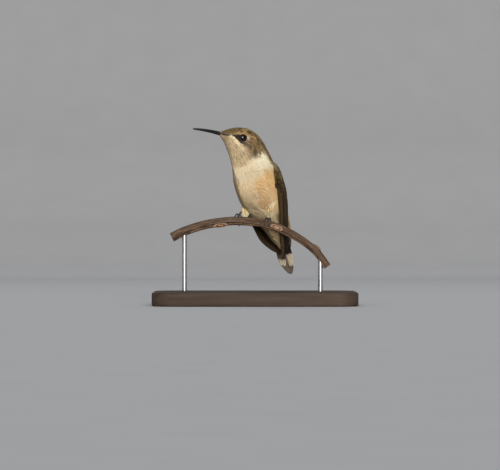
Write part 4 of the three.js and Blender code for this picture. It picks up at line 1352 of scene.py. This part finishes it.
class MESH_OT_bird_body_feathers(BirdOperator, bpy.types.Operator):
    """Dress the breast, belly, flanks, back and rump"""

    bl_idname = "mesh.bird_body_feathers"
    bl_label = "Body feathers"

    def execute(self, context):
        sizes = context.scene.bird_sizes
        rng = np.random.default_rng(23)
        soft = plumage("plumage_breast", 6, 0.2, 1.0, 0.6, 0.8, Sheen_Weight=0.25, Specular_IOR_Level=0.15)
        green = plumage("plumage_back", 9, 0.5, 0.95, 0.8, 0.5, Metallic=0.15, Specular_IOR_Level=0.4)
        breast, belly = sizes.breast_length / MM, sizes.belly_length / MM
        back, under = sizes.back_length / MM, sizes.coverts_length / MM
        regions = (
            ("collar", 1.0, (6.6, 8.9), (60, 126), (breast * 0.8, breast), (0.24, 0.29)),
            ("breast", 1.0, (6.6, 10.4), (124, 180), (breast * 0.8, breast * 1.1), (0.24, 0.31)),
            ("flank", 0.85, (8.7, 12.2), (64, 126), (breast, belly), (0.29, 0.34)),
            ("belly", 0.85, (10.2, 13.3), (118, 180), (belly * 0.9, belly * 1.1), (0.29, 0.36)),
            ("vent", 0.6, (12.0, 14.0), (82, 180), (belly, belly * 1.3), (0.32, 0.42)),
        )
        for name, share, rows, degrees, length, half in regions:
            shape = body_coat(
                rng, sizes.breast_count * share, rows, degrees, length, half, "lock", 0.12,
                swirl=0.13, lie=0.05, proud=0.05
            )
            put(f"feathers_{name}", placed(shape), soft)
        mantle = body_coat(
            rng, sizes.back_count, (7.2, 13.0), (0, 84), (back * 0.7, back * 1.05), (0.62, 0.9), "scale",
            0.06, swirl=0.16, tone=0.18, proud=-0.05, droop=0.02
        )
        put("feathers_mantle", placed(mantle), green)
        rump = body_coat(
            rng, sizes.back_count * 0.9, (12.6, 15.6), (0, 96), (back, back * 1.5), (1.0, 1.1), "scale", 0.1,
            swirl=0.1, tone=0.12, droop=0.05
        )
        put("feathers_rump", placed(rump), green)
        coverts = body_coat(
            rng, 2.6, (13.0, 15.3), (92, 180), (under * 0.8, under), (0.55, 0.7), "scale", 0.1,
            swirl=0.08, tone=0.08, proud=-0.05, droop=0.04
        )
        put("feathers_undertail", placed(coverts), soft)
        put("feathers_thighs", self.thighs(rng), soft)
        put("feathers_tufts", self.tufts(rng), soft)
        fluff = body_coat(
            rng, 3.2, (11.4, 13.2), (138, 180), (3.6, 4.2), (0.3, 0.34), "lock", 0.12,
            swirl=0.22, proud=0.5, deep=0.4
        )
        put("feathers_fluff", placed(fluff), soft)
        return {"FINISHED"}

    def thighs(self, rng):
        """Loose locks down both thighs, tan at the flank and white at the foot, with long white wisps among
        them."""
        shapes = []
        for name, side in SIDES.items():
            surface = thigh(name)
            span = ((0.12, -np.pi), (0.86, np.pi))
            t, b = spread_over(surface, 7.0, span, lambda p, q: smooth(p, 0.1, 0.5))
            n = len(t)
            wisp = rng.random(n) < 0.3
            pale = np.where(wisp, 1.0, smooth(t + rng.normal(0, 0.3, n), 0.7, 1.2))
            tint = varied(painted(colour_of("flank"), colour_of("white"), pale), rng, 0.1)
            length = np.where(wisp, 4.6, 2.2) + rng.normal(0, 0.4, n)
            half, lie = 0.2 + rng.normal(0, 0.03, n), rng.normal(0, 0.2, n)
            proud = np.where(wisp, 0.35, 0.0) + rng.normal(0.05, 0.12, n)
            shapes.append(coat(
                surface, t, b, length, half, lie, np.full(n, -0.5), proud, "lock", 0.1, tint, tint,
                bake_place(0.7 + t * 0.06 * side, b)
            ))
        return placed(join(shapes))

    def tufts(self, rng):
        """Long white wisps that slant down the lower flank to each thigh, thick along a line that moves 19
        degrees round the body for each row."""
        low, high = 10.6 / BODY_ROWS, 12.8 / BODY_ROWS

        def where(u, a):
            off = np.degrees(np.abs(a)) - (112 + 19 * (u * BODY_ROWS - 11.0))
            return np.exp(-(off / 5.5) ** 2)

        u, a = spread_over(body, 2.8, ((low, -np.pi), (high, np.pi)), where)
        n = len(u)
        tint = varied(np.broadcast_to(colour_of("white"), (n, 3)), rng, 0.12)
        length, half = 4.6 + rng.normal(0, 0.8, n), 0.2 + rng.normal(0, 0.03, n)
        lie = np.sign(a) * 0.5 + rng.normal(0, 0.14, n)
        proud = 0.3 + np.abs(rng.normal(0, 0.14, n))
        return placed(coat(
            body, u, a, length, half, lie, -coat_depth(u) * 0.4, proud, "lock", 0.1, tint, tint,
            bake_place(u, a), clear_of_wings
        ))


def across_and_back(columns):
    """Places across a feather from -1 to 1 over its top and back under it, and which side each is on."""
    x = np.concatenate([np.linspace(-1, 1, columns), np.linspace(1, -1, columns)[1:-1]])
    return x, np.concatenate([np.ones(columns), -np.ones(columns - 2)])


def blade(surface, s, share, half, level, t, lean, thick, shaft, chord, middle, edge, columns=7):
    """One long feather over a surface: at each station of its line s and share, a thin lens across it from
    -1 to 1 with its shaft off the middle by lean. half and chord are in millimetres."""
    x, top = across_and_back(columns)
    x = x + 0 * t[:, None]
    lens = thick / 2 * np.sqrt(np.clip(1 - x ** 2, 0, 1)) + shaft * np.exp(-((x - lean) / 0.09) ** 2)
    height = level[:, None] + top * lens
    place = np.clip(share[:, None] + x * (half / chord)[:, None], 0.0, 1.0)
    points = surface(s[:, None] + 0 * x, place, height)
    own = np.stack([(x + 1) / 2, t[:, None] + 0 * x], -1)
    colours = {"centre": middle + 0 * points, "edge": edge + 0 * points}
    return closed_grid(points, colours, own)


class MESH_OT_bird_wings(BirdOperator, bpy.types.Operator):
    """Make both folded wings: flight feathers, rows of coverts and a dark core between them"""

    bl_idname = "mesh.bird_wings"
    bl_label = "Wings"

    def execute(self, context):
        rng = np.random.default_rng(37)
        quill = plumage("plumage_quill", 150, 0.8, 0.99, 0.985, 0.75, 0.3, 0.04, Specular_IOR_Level=0.06)
        scaled = plumage("plumage_covert", 10, 0.5, 0.95, 0.82, 0.6, Specular_IOR_Level=0.15)
        for name, side in SIDES.items():
            flight = placed(with_cells([self.core(side)] + self.flight(side, rng)))
            put(f"wing_{name}_flight", flight, quill, (f"wing_{name}_quills",))
            small = placed(self.coverts(side, rng))
            put(f"wing_{name}_scaled", small, scaled, (f"wing_{name}_coverts",))
        return {"FINISHED"}

    def core(self, side):
        """The wing's own closed outside, drawn in from both faces and both edges."""
        s, angle = grid(np.linspace(0.05, 0.97, 90), full_turn(28))
        share = 0.5 - 0.47 * np.cos(angle)
        points = wing(side)(s, share, np.sin(angle) * wing_wall(side, s, share) * 0.35)
        tint = colour_of("quill") + 0 * points
        return closed_grid(points, {"centre": tint, "edge": tint}, np.stack([0.4 + 0 * s, s], -1))

    def flight(self, side, rng):
        """Ten primaries from the lead edge back on both faces, each lying over the one before, and six short
        inner feathers over them. Each line bends from root to tip, the tips step up the wing, and the outer
        face's feathers sink under the coverts towards their roots."""
        surface = wing(side)
        t = np.linspace(0, 1, 48)
        made = []
        dark, brown, olive = colour_of("quill"), colour_of("quill_brown"), colour_of("quill_olive")
        # Painted shade: the right wing, the far one, takes 0.6 of these tones, so its flight feathers are
        # darker.
        tones = np.array([0.5, 0.45, 0.05, 0.1, 0.36, 0.4, 0.2, 0.0, 0.0, 0.1]) * (1.0 if side > 0 else 0.6)
        primaries = [
            dict(
                root=(0.16, 0.15 + 0.08 * k),
                tip=(1.0 - 0.011 * k - 0.0036 * k * k, min(0.45 + 0.11 * k, 0.93)),
                half=1.75,
                level=level + step * k,
                bend=3.6 - 0.18 * k,
                blunt=0.95 if k < 2 else 0.86,
                tone=tones[k],
                warm=olive if k < 2 else brown,
            )
            for level, step in ((-0.78, 0.15), (0.46, 0.055))
            for k in range(10)
        ]
        inner = [
            dict(
                root=(0.18, 0.7 + 0.04 * k),
                tip=(0.58 - 0.035 * k, 0.93),
                half=1.5 - 0.05 * k,
                level=0.84 + 0.03 * k,
                bend=1.6,
                blunt=0.8,
                tone=0.15 + 0.1 * (k % 3),
                warm=brown,
            )
            for k in range(6)
        ]
        for item in primaries + inner:
            (s0, c0), (s1, c1) = item["root"], item["tip"]
            s = s0 + (s1 - s0) * t
            share = c0 + (c1 - c0) * t ** item["bend"]
            closing = np.clip((t - item["blunt"]) / (1.004 - item["blunt"]), 0, 1)
            half = item["half"] * (0.5 + 0.5 * smooth(t, 0, 0.3)) * np.sqrt(1 - closing ** 2.2)
            sunk = 0.45 + 0.55 * smooth(s, 0.26, 0.46) if item["level"] > 0.4 else 1.0
            level = wing_wall(side, s, share) * item["level"] * sunk
            chord = np.maximum(wing_chord(side, s), 0.6)
            middle = (dark + (item["warm"] - dark) * item["tone"]) * (1 + rng.normal(0, 0.06))
            rim = middle + (colour_of("quill_edge") - middle) * (0.45 + 0.5 * item["tone"])
            made.append(blade(surface, s, share, half, level, t, -0.5, 0.12, 0.06, chord, middle, rim))
        return made

    def coverts(self, side, rng):
        """Rounded feathers in rows over the outside and the lead edge, growing towards the quills: dark
        with buff and green-gold fringes, greyer where they meet the shoulder."""
        surface = wing_skin(side)
        shapes = []
        sets = (
            (2.6, (0.0, 0.24), (2.0, 2.6), 0.78, 0.18),
            (1.3, (0.13, 0.37), (3.6, 4.6), 0.98, 0.08),
        )
        for per, (first, last), length, half, level in sets:

            def where(s, angle):
                return 1.0 * (s < last - 0.1 + 0.05 * (1 - np.cos(angle)) + 0.02 * np.sin(9 * angle))

            s, angle = spread_over(surface, per, ((first, -0.9), (last, np.pi)), where)
            n = len(s)
            t = (s - first) / (last - first)
            light = 1 + rng.normal(0, 0.18, (n, 1))
            patch = smooth(noise(s * 40 + 5, angle * 3 + 5) + 2 * s, 0.4, 0.8)
            glint = smooth(noise(s * 26 + 50, angle * 4 + 50), 0.5, 0.8) * band(s, 0.04, 0.17, 0.06)
            middle = painted(colour_of("covert"), colour_of("covert_brown"), patch)
            middle = painted(middle, colour_of("glint"), glint * 0.6)
            middle = painted(middle, colour_of("shoulder"), 0.8 * (1 - smooth(s, 0.02, 0.1)))
            edge = colour_of("covert_edge") * (0.35 + 0.9 * smooth(rng.random((n, 1)), 0.2, 1.0))
            edge = edge * (1 - 0.5 * smooth(s[:, None], 0.13, 0.24))
            size = (length[0] + (length[1] - length[0]) * t) * (1 + rng.normal(0, 0.08, n))
            wide, lie = half * (1 + rng.normal(0, 0.1, n)), rng.normal(0, 0.1, n)
            proud = level - 0.15 + rng.normal(0, 0.03, n)
            shapes.append(coat(
                surface, s, angle, size, wide, lie, np.full(n, -0.45), proud, "scale", 0.1,
                middle * light, edge * light, bake_place(s, angle), None, 0.05
            ))
        return join(shapes)


class MESH_OT_bird_tail(BirdOperator, bpy.types.Operator):
    """Make the ten tail feathers with their white, black and grey ends"""

    bl_idname = "mesh.bird_tail"
    bl_label = "Tail"

    def execute(self, context):
        finish = plumage("plumage_tail", 130, 0.9, 1.0, 0.985, 0.6, 0.25, 0.05, Specular_IOR_Level=0.2)
        ranks = range(len(TAIL_LENGTHS))
        fan = with_cells([self.feather(rank, side) for rank in ranks for side in SIDES.values()])
        put("tail_feathers", placed(fan), finish, ("tail",))
        return {"FINISHED"}

    def feather(self, rank, side):
        """A thin lens over the feather's plane with its shaft near the outer edge."""
        t = np.linspace(0, 1, 60)[:, None]
        x, top = across_and_back(11)
        x = x + 0 * t
        lean = side * (0.08 + 0.09 * rank)
        lens = 0.09 * np.sqrt(np.clip(1 - x ** 2, 0, 1)) + 0.06 * np.exp(-((x - lean) / 0.07) ** 2)
        sag = 0.1 * (x - lean) ** 2
        points = tail_blade(rank, side)(t + 0 * x, x * INSIDE, top * lens - sag)
        tint = self.banded(rank, side, t, x, lean)
        own = np.stack([(x + 1) / 2, t + 0 * x], -1)
        return closed_grid(points, {"centre": tint, "edge": tint * 0.6}, own)

    def banded(self, rank, side, t, x, lean):
        """The colours down a feather, by millimetres from its tip: grey at the tip and black from there to
        the root, with a ragged border. The two outer ranks are white before the black, from the tip of the
        outermost feather on, and the outermost has a brown outer edge."""
        beyond = TAIL_LENGTHS[rank] - TAIL_LENGTHS[-1]
        white = beyond + (6.2 if side > 0 else 3.2) if rank > 2 else 0.0
        first = white + (7.0, 7.0, 5.5, 0.0, 0.0 if side > 0 else 2.6)[rank]
        last = first + (5.0, 4.0, 3.0, 2.0, 0.6)[rank]
        place = (1 - t) * TAIL_LENGTHS[rank] - 0.35 * np.abs(x - lean)
        place = place + 0.5 * (noise(x * 7 + 9 * rank, place * 0.6 + 20) - 0.5)
        grey = colour_of("tail_grey") * (1.0, 1.0, 0.85, 0.8, 0.8)[rank]
        tint = painted(grey, colour_of("tail_black"), smooth(place, first, last) * 0.95)
        end = band(place, beyond - 0.3 if rank == 3 else -9.0, white, 0.8) * (white > 0)
        tint = painted(tint, colour_of("tail_white"), end)
        outer = smooth(x * side, 0.55, 0.95) * (rank == 4) * (1 - end)
        return painted(tint, colour_of("tail_brown"), outer)


class MESH_OT_bird_feet(BirdOperator, bpy.types.Operator):
    """Make the shanks, toes and claws that grip the twig"""

    bl_idname = "mesh.bird_feet"
    bl_label = "Feet"

    def execute(self, context):
        skin, horn = foot_finish(), claw_finish()
        for name in SIDES:
            foot = FEET[name]
            shapes = [self.shank(foot)]
            for key, toe in toes_of(name).items():
                path = toe_path(foot, toe, ANKLE, toe[1], 46, TOE_RADIUS)
                t = np.linspace(0, 1, len(path))
                plates = 1 + 0.07 * np.abs(np.sin(np.pi * 11 * t)) ** 0.6
                pads = 1 + 0.08 * np.cos(2 * np.pi * 2.5 * t)
                shapes.append(tube(path, TOE_RADIUS * (0.93 - 0.16 * t) * plates * pads, 20))
                self.claw(name, key, foot, toe, horn)
            put(f"foot_{name}", join(shapes), skin, (f"leg_{name}",))
        return {"FINISHED"}

    def shank(self, foot):
        """The bare shank from the toes to the hock, ringed by low plates."""
        sole = on_twig(np.array(foot[0]), np.array(ANKLE), np.array(0.0), np.array(TOE_RADIUS))
        hock = np.array(foot[4]) + np.array([0, 0, PERCH_HEIGHT])
        t = np.linspace(0, 1, 48)
        radii = along(SHANK_RADII, t)[:, 0] * (0.93 + 0.07 * np.abs(np.sin(np.pi * 12 * t)) ** 0.6)
        return tube(sole + (hock - sole) * t[:, None], radii, 22)

    def claw(self, name, key, foot, toe, horn):
        """A claw that carries its toe's curve on round the twig and tapers to a point."""
        start = toe[1] + math.copysign(CLAW_START * 0.35, toe[2] - toe[1])
        path = toe_path(foot, toe, start, toe[2], 22, CLAW_RADII[0, 0])
        radii = along(CLAW_RADII, np.linspace(0, 1, 22))[:, 0]
        put(f"nail_{name}_{key}", tube(path, radii, 14), horn, (f"claw_{name}_{key}",))


class MESH_OT_bird_perch(BirdOperator, bpy.types.Operator):
    """Make the cut length of twig with its bark, grooves and old leaf scars"""

    bl_idname = "mesh.bird_perch"
    bl_label = "Perch"

    def execute(self, context):
        cap, rows = 9, 560
        steps = np.concatenate([np.zeros(cap), np.linspace(0, 1, rows), np.ones(cap)])
        inward = np.linspace(0, 1, cap, endpoint=False)
        inward = np.concatenate([inward, np.ones(rows), np.linspace(1, 0, cap + 1)[1:]])
        t, angle = grid(steps, full_turn(148, -np.pi))
        reach = inward[:, None] + 0 * t
        centre, _, front, top, radius = twig_at(t)
        raised, tint = self.bark(t, angle)
        tint = painted(tint, self.end_grain(reach, angle), reach < 1)
        edge = 1 - 0.05 * (1 - smooth(np.minimum(t, 1 - t) * TWIG_LENGTH, 0, 0.5))
        out = ((radius + raised) * edge * reach)[..., None]
        points = centre + out * (np.cos(angle)[..., None] * front + np.sin(angle)[..., None] * top)
        put("twig", closed_grid(points, {"bark": tint}), bark_finish(), ("perch",))
        return {"FINISHED"}

    def bark(self, t, angle):
        """How far the bark stands off the twig's round, and its colour: fibres drawn out along it, a paler
        upper side of dust and painted light from above, and a dark groove over a tan ridge low on its front
        that carries a painted highlight."""
        along_mm = t * TWIG_LENGTH
        x, y = np.cos(angle), np.sin(angle)
        lump = noise(along_mm / 7, x * 1.3 + 5, y * 1.3 + 5) - 0.5
        fibre = noise(along_mm / 5.0, x * 6.5 + 20, y * 6.5 + 20) - 0.5
        fine = noise(along_mm / 1.7, x * 14 + 40, y * 14 + 40) - 0.5
        crack = noise(along_mm / 9.0, x * 4.2 + 60, y * 4.2 + 60)
        cracks = smooth(np.abs(crack - 0.5), 0.05, 0.0)
        middle = math.radians(-30) + 0.22 * (noise(along_mm / 11, 0 * x + 3.3) - 0.5) * 2
        groove = np.exp(-((angle - middle) / 0.13) ** 2) * (0.5 + 0.5 * noise(along_mm / 5, 0 * x + 8))
        ridge = np.exp(-((angle - middle + 0.36) / 0.2) ** 2)
        raised = -0.1 + 0.18 * lump + 0.16 * fibre + 0.09 * fine
        raised = raised - 0.12 * cracks - 0.34 * groove + 0.12 * ridge
        shown = smooth(fibre + fine * 0.6 + 0.5, 0.25, 0.75)
        tint = painted(colour_of("bark_brown"), colour_of("bark_grey"), shown)
        # Paler upper side: dust, with painted light from above.
        dusty_and_lit = smooth(y, 0.35, 0.95) * smooth(fibre, -0.2, 0.3) * 0.8
        tint = painted(tint, colour_of("bark_dust_and_light"), dusty_and_lit)
        # Painted highlight: tan bark along the raised ridge low on the front, brightened as if lit.
        tint = painted(tint, colour_of("bark_ridge_highlight"), ridge * smooth(fine + fibre, -0.3, 0.15) * 0.9)
        tint = painted(tint, colour_of("bark_dark"), np.clip(groove + cracks * 0.6, 0, 1) * 0.85)
        for scar in SCARS:
            raised, tint = self.scarred(t, angle, raised, tint, *scar)
        return np.minimum(raised, 0.12 + 1.4 * (raised > 0.3)), tint

    def scarred(self, t, angle, raised, tint, at, turn, high, long, half):
        """The bark and its colour with a leaf scar: a swelling with a sunken face and a raised rim between
        two dark lines, all by their distance from its middle on an oval."""
        off = (t - at) * TWIG_LENGTH
        turn_by, half = math.radians(turn), math.radians(half)
        round_it = np.arctan2(np.sin(angle - turn_by), np.cos(angle - turn_by))
        near = np.minimum(np.hypot(off / long, round_it / half), 1)
        swell = high * (1 - near ** 2) ** 2
        inner = np.hypot(off / (long * 0.62), round_it / (half * 0.5))
        bowl = 1 - smooth(inner, 0.55, 0.9)
        rim = band(inner, 0.72, 1.05, 0.22)
        raised = raised * (1 - bowl * 0.8) + swell - 0.34 * bowl * high / 0.7 + 0.12 * rim
        rough = noise(off * 2.2, round_it * 9 + 9)
        heart = colour_of("scar_red" if turn < -20 else "scar_brown")
        face = painted(heart, colour_of("scar_pale"), rough)
        tint = painted(tint, face, bowl * (high <= 1))
        tint = painted(tint, colour_of("scar_rim"), rim * (0.4 + 0.6 * rough))
        tint = painted(tint, colour_of("bark_dark"), band(inner, 0.5, 0.72, 0.12) * 0.8)
        return raised, painted(tint, colour_of("bark_dark"), band(inner, 1.08, 1.3, 0.16) * 0.5)

    def end_grain(self, reach, angle):
        """Pale wood with growth rings and a dark pith."""
        rings = 0.5 + 0.5 * np.cos(reach * 34 + 0.6 * np.sin(angle * 3))
        wood = np.array([0.33, 0.23, 0.14]) - np.array([0.1, 0.08, 0.05]) * rings[..., None]
        return wood * (0.35 + 0.65 * smooth(reach, 0.0, 0.22))[..., None]


class MESH_OT_bird_stand(BirdOperator, bpy.types.Operator):
    """Make the rounded base and the two rods that carry the twig"""

    bl_idname = "mesh.bird_stand"
    bl_label = "Stand"

    def execute(self, context):
        put("base", self.base(), plinth_finish(), ("stand_base",))
        steel = rod_finish()
        for name, at in RODS.items():
            centre, _, _, _, radius = twig_at(np.array(at))
            top = centre[2] - radius + ROD_PLUG
            low, high, close = BASE_HIGH - 0.3, float(top), 1e-3
            z = np.concatenate([[low], np.linspace(low + close, high - close, 38), [high]])
            path = np.stack([centre[0] + 0 * z, centre[1] + 0 * z, z], -1)
            put(f"rod_{name}", self.post(path), steel, (f"stand_rod_{name}",))
        return {"FINISHED"}

    def post(self, path):
        """A straight round rod: circles about its line, drawn in to the middle at both ends."""
        angle = full_turn(48)
        reach = np.where((path[:, 2] == path[0, 2]) | (path[:, 2] == path[-1, 2]), 0.0, ROD_RADIUS)
        ring = np.stack([np.cos(angle), np.sin(angle), 0 * angle], -1)
        return closed_grid(path[:, None] + ring * reach[:, None, None])

    def base(self):
        """A slab: a rectangle's four corner arcs and the straights between them, carried up a profile with
        quarter-round edges and closed at the middle of its two faces."""
        quarter = np.linspace(0, np.pi / 2, 9)
        inset = np.concatenate([BASE_EDGE * (1 - np.sin(quarter)), BASE_EDGE * (1 - np.sin(quarter[::-1]))])
        low = BASE_EDGE * (1 - np.cos(quarter))
        high = np.concatenate([low, BASE_HIGH - low[::-1]])
        turn = np.linspace(0, np.pi / 2, 13)
        corner = BASE_CORNER + BASE_EDGE
        reach = np.array([BASE_WIDE / 2 - corner, BASE_DEEP / 2 - corner])
        middles = np.array([[1, 1], [-1, 1], [-1, -1], [1, -1]]) * reach
        heading = np.concatenate([turn + k * np.pi / 2 for k in range(4)])
        ways = np.stack([np.cos(heading), np.sin(heading)], -1)
        outline = np.repeat(middles, len(turn), 0) + ways * (corner - inset)[:, None, None]
        faces = np.array([0.0, 0.35, 0.7])[:, None, None]
        flat = np.concatenate([outline[0] * faces, outline, outline[-1] * faces[::-1]])
        z = np.concatenate([[0] * 3, high, [BASE_HIGH] * 3])
        return closed_grid(np.concatenate([flat, z[:, None, None] + 0 * flat[..., :1]], -1))


# ---------------------------------------------------------------- stage


class SCENE_OT_bird_stage(BirdOperator, bpy.types.Operator):
    """Set up the floor and backdrop, the lamps and the camera"""

    bl_idname = "scene.bird_stage"
    bl_label = "Stage"

    def execute(self, context):
        stage = context.scene.bird_stage
        self.sweep(stage)
        self.lamps(stage)
        camera = bpy.data.cameras.new("camera")
        camera.sensor_width = 36.0
        camera.lens = stage.lens
        camera.clip_end = 100.0
        view = bpy.data.objects.new("camera", camera)
        view.location = (-0.00255, -stage.camera_distance, 0.03584)
        view.rotation_euler = (math.pi / 2, 0, 0)
        context.scene.collection.objects.link(view)
        context.scene.camera = view
        context.scene.view_settings.view_transform = "Standard"
        return {"FINISHED"}

    def sweep(self, stage):
        """Paper that runs back along the floor and curves up in a quarter circle."""
        bend = 0.5
        arc = np.linspace(0, np.pi / 2, 40)
        y = np.concatenate([[-4.0, -1.0, 0.0], 0.9 + bend * np.sin(arc), [0.9 + bend]])
        z = np.concatenate([[0.0, 0.0, 0.0], bend * (1 - np.cos(arc)), [1.2]])
        x = np.linspace(-4, 4, 9)
        points = np.stack([x + 0 * y[:, None], y[:, None] + 0 * x, z[:, None] + 0 * x], -1)
        mesh = bpy.data.meshes.new("backdrop")
        i, j = grid(np.arange(len(y) - 1), np.arange(len(x) - 1))
        k = i * len(x) + j
        faces = np.stack([k, k + 1, k + len(x) + 1, k + len(x)], -1).reshape(-1, 4)
        mesh.from_pydata(points.reshape(-1, 3).tolist(), [], faces.tolist())
        mesh.polygons.foreach_set("use_smooth", np.ones(len(faces), bool))
        mesh.materials.append(backdrop_finish(tuple(stage.floor), tuple(stage.wall), bend))
        paper = bpy.data.objects.new("backdrop", mesh)
        bpy.context.scene.collection.objects.link(paper)

    def lamps(self, stage):
        """Two soft distant lamps, each by its heading, its height in degrees and the breadth of its light."""
        lamps = (
            ("key", stage.key_strength, 5, 14, 27, (1.0, 0.975, 0.935)),
            ("rim", stage.rim_strength, 200, 58, 30, (1.0, 1.0, 1.0)),
        )
        for name, strength, heading, height, breadth, colour in lamps:
            lamp = bpy.data.lights.new(name, "SUN")
            lamp.energy, lamp.angle, lamp.color = strength, math.radians(breadth), colour
            holder = bpy.data.objects.new(name, lamp)
            holder.rotation_euler = (math.radians(90 - height), 0, math.radians(heading))
            bpy.context.scene.collection.objects.link(holder)
        world = bpy.data.worlds.new("room")
        world.use_nodes = True
        world.node_tree.nodes["Background"].inputs[0].default_value = (0.95, 0.97, 1.0, 1)
        world.node_tree.nodes["Background"].inputs[1].default_value = stage.room_strength
        bpy.context.scene.world = world


OPERATORS = (
    MESH_OT_bird_skin,
    MESH_OT_bird_eyes,
    MESH_OT_bird_bill,
    MESH_OT_bird_head_feathers,
    MESH_OT_bird_body_feathers,
    MESH_OT_bird_wings,
    MESH_OT_bird_tail,
    MESH_OT_bird_feet,
    MESH_OT_bird_perch,
    MESH_OT_bird_stand,
    SCENE_OT_bird_stage,
)


class VIEW3D_PT_bird(bpy.types.Panel):
    """The bird's pieces, sizes and colours"""

    bl_idname = "VIEW3D_PT_bird"
    bl_label = "Perched hummingbird"
    bl_space_type = "VIEW_3D"
    bl_region_type = "UI"
    bl_category = "Bird"

    def draw(self, context):
        for operator in OPERATORS:
            self.layout.operator(operator.bl_idname)
        for group in (context.scene.bird_sizes, context.scene.bird_colours, context.scene.bird_stage):
            box = self.layout.box()
            for key in group.bl_rna.properties.keys():
                if key not in ("rna_type", "name"):
                    box.prop(group, key)


GROUPS = {"bird_sizes": BirdSizes, "bird_colours": BirdColours, "bird_stage": StageSettings}


def register():
    for item in (*GROUPS.values(), *OPERATORS, VIEW3D_PT_bird):
        bpy.utils.register_class(item)
    for key, group in GROUPS.items():
        setattr(bpy.types.Scene, key, bpy.props.PointerProperty(type=group))


def unregister():
    for key in GROUPS:
        delattr(bpy.types.Scene, key)
    for item in (VIEW3D_PT_bird, *reversed(OPERATORS), *reversed(list(GROUPS.values()))):
        bpy.utils.unregister_class(item)


def main():
    register()
    for operator in OPERATORS:
        group, name = operator.bl_idname.split(".")
        getattr(getattr(bpy.ops, group), name)()


if __name__ == "__main__":
    main()
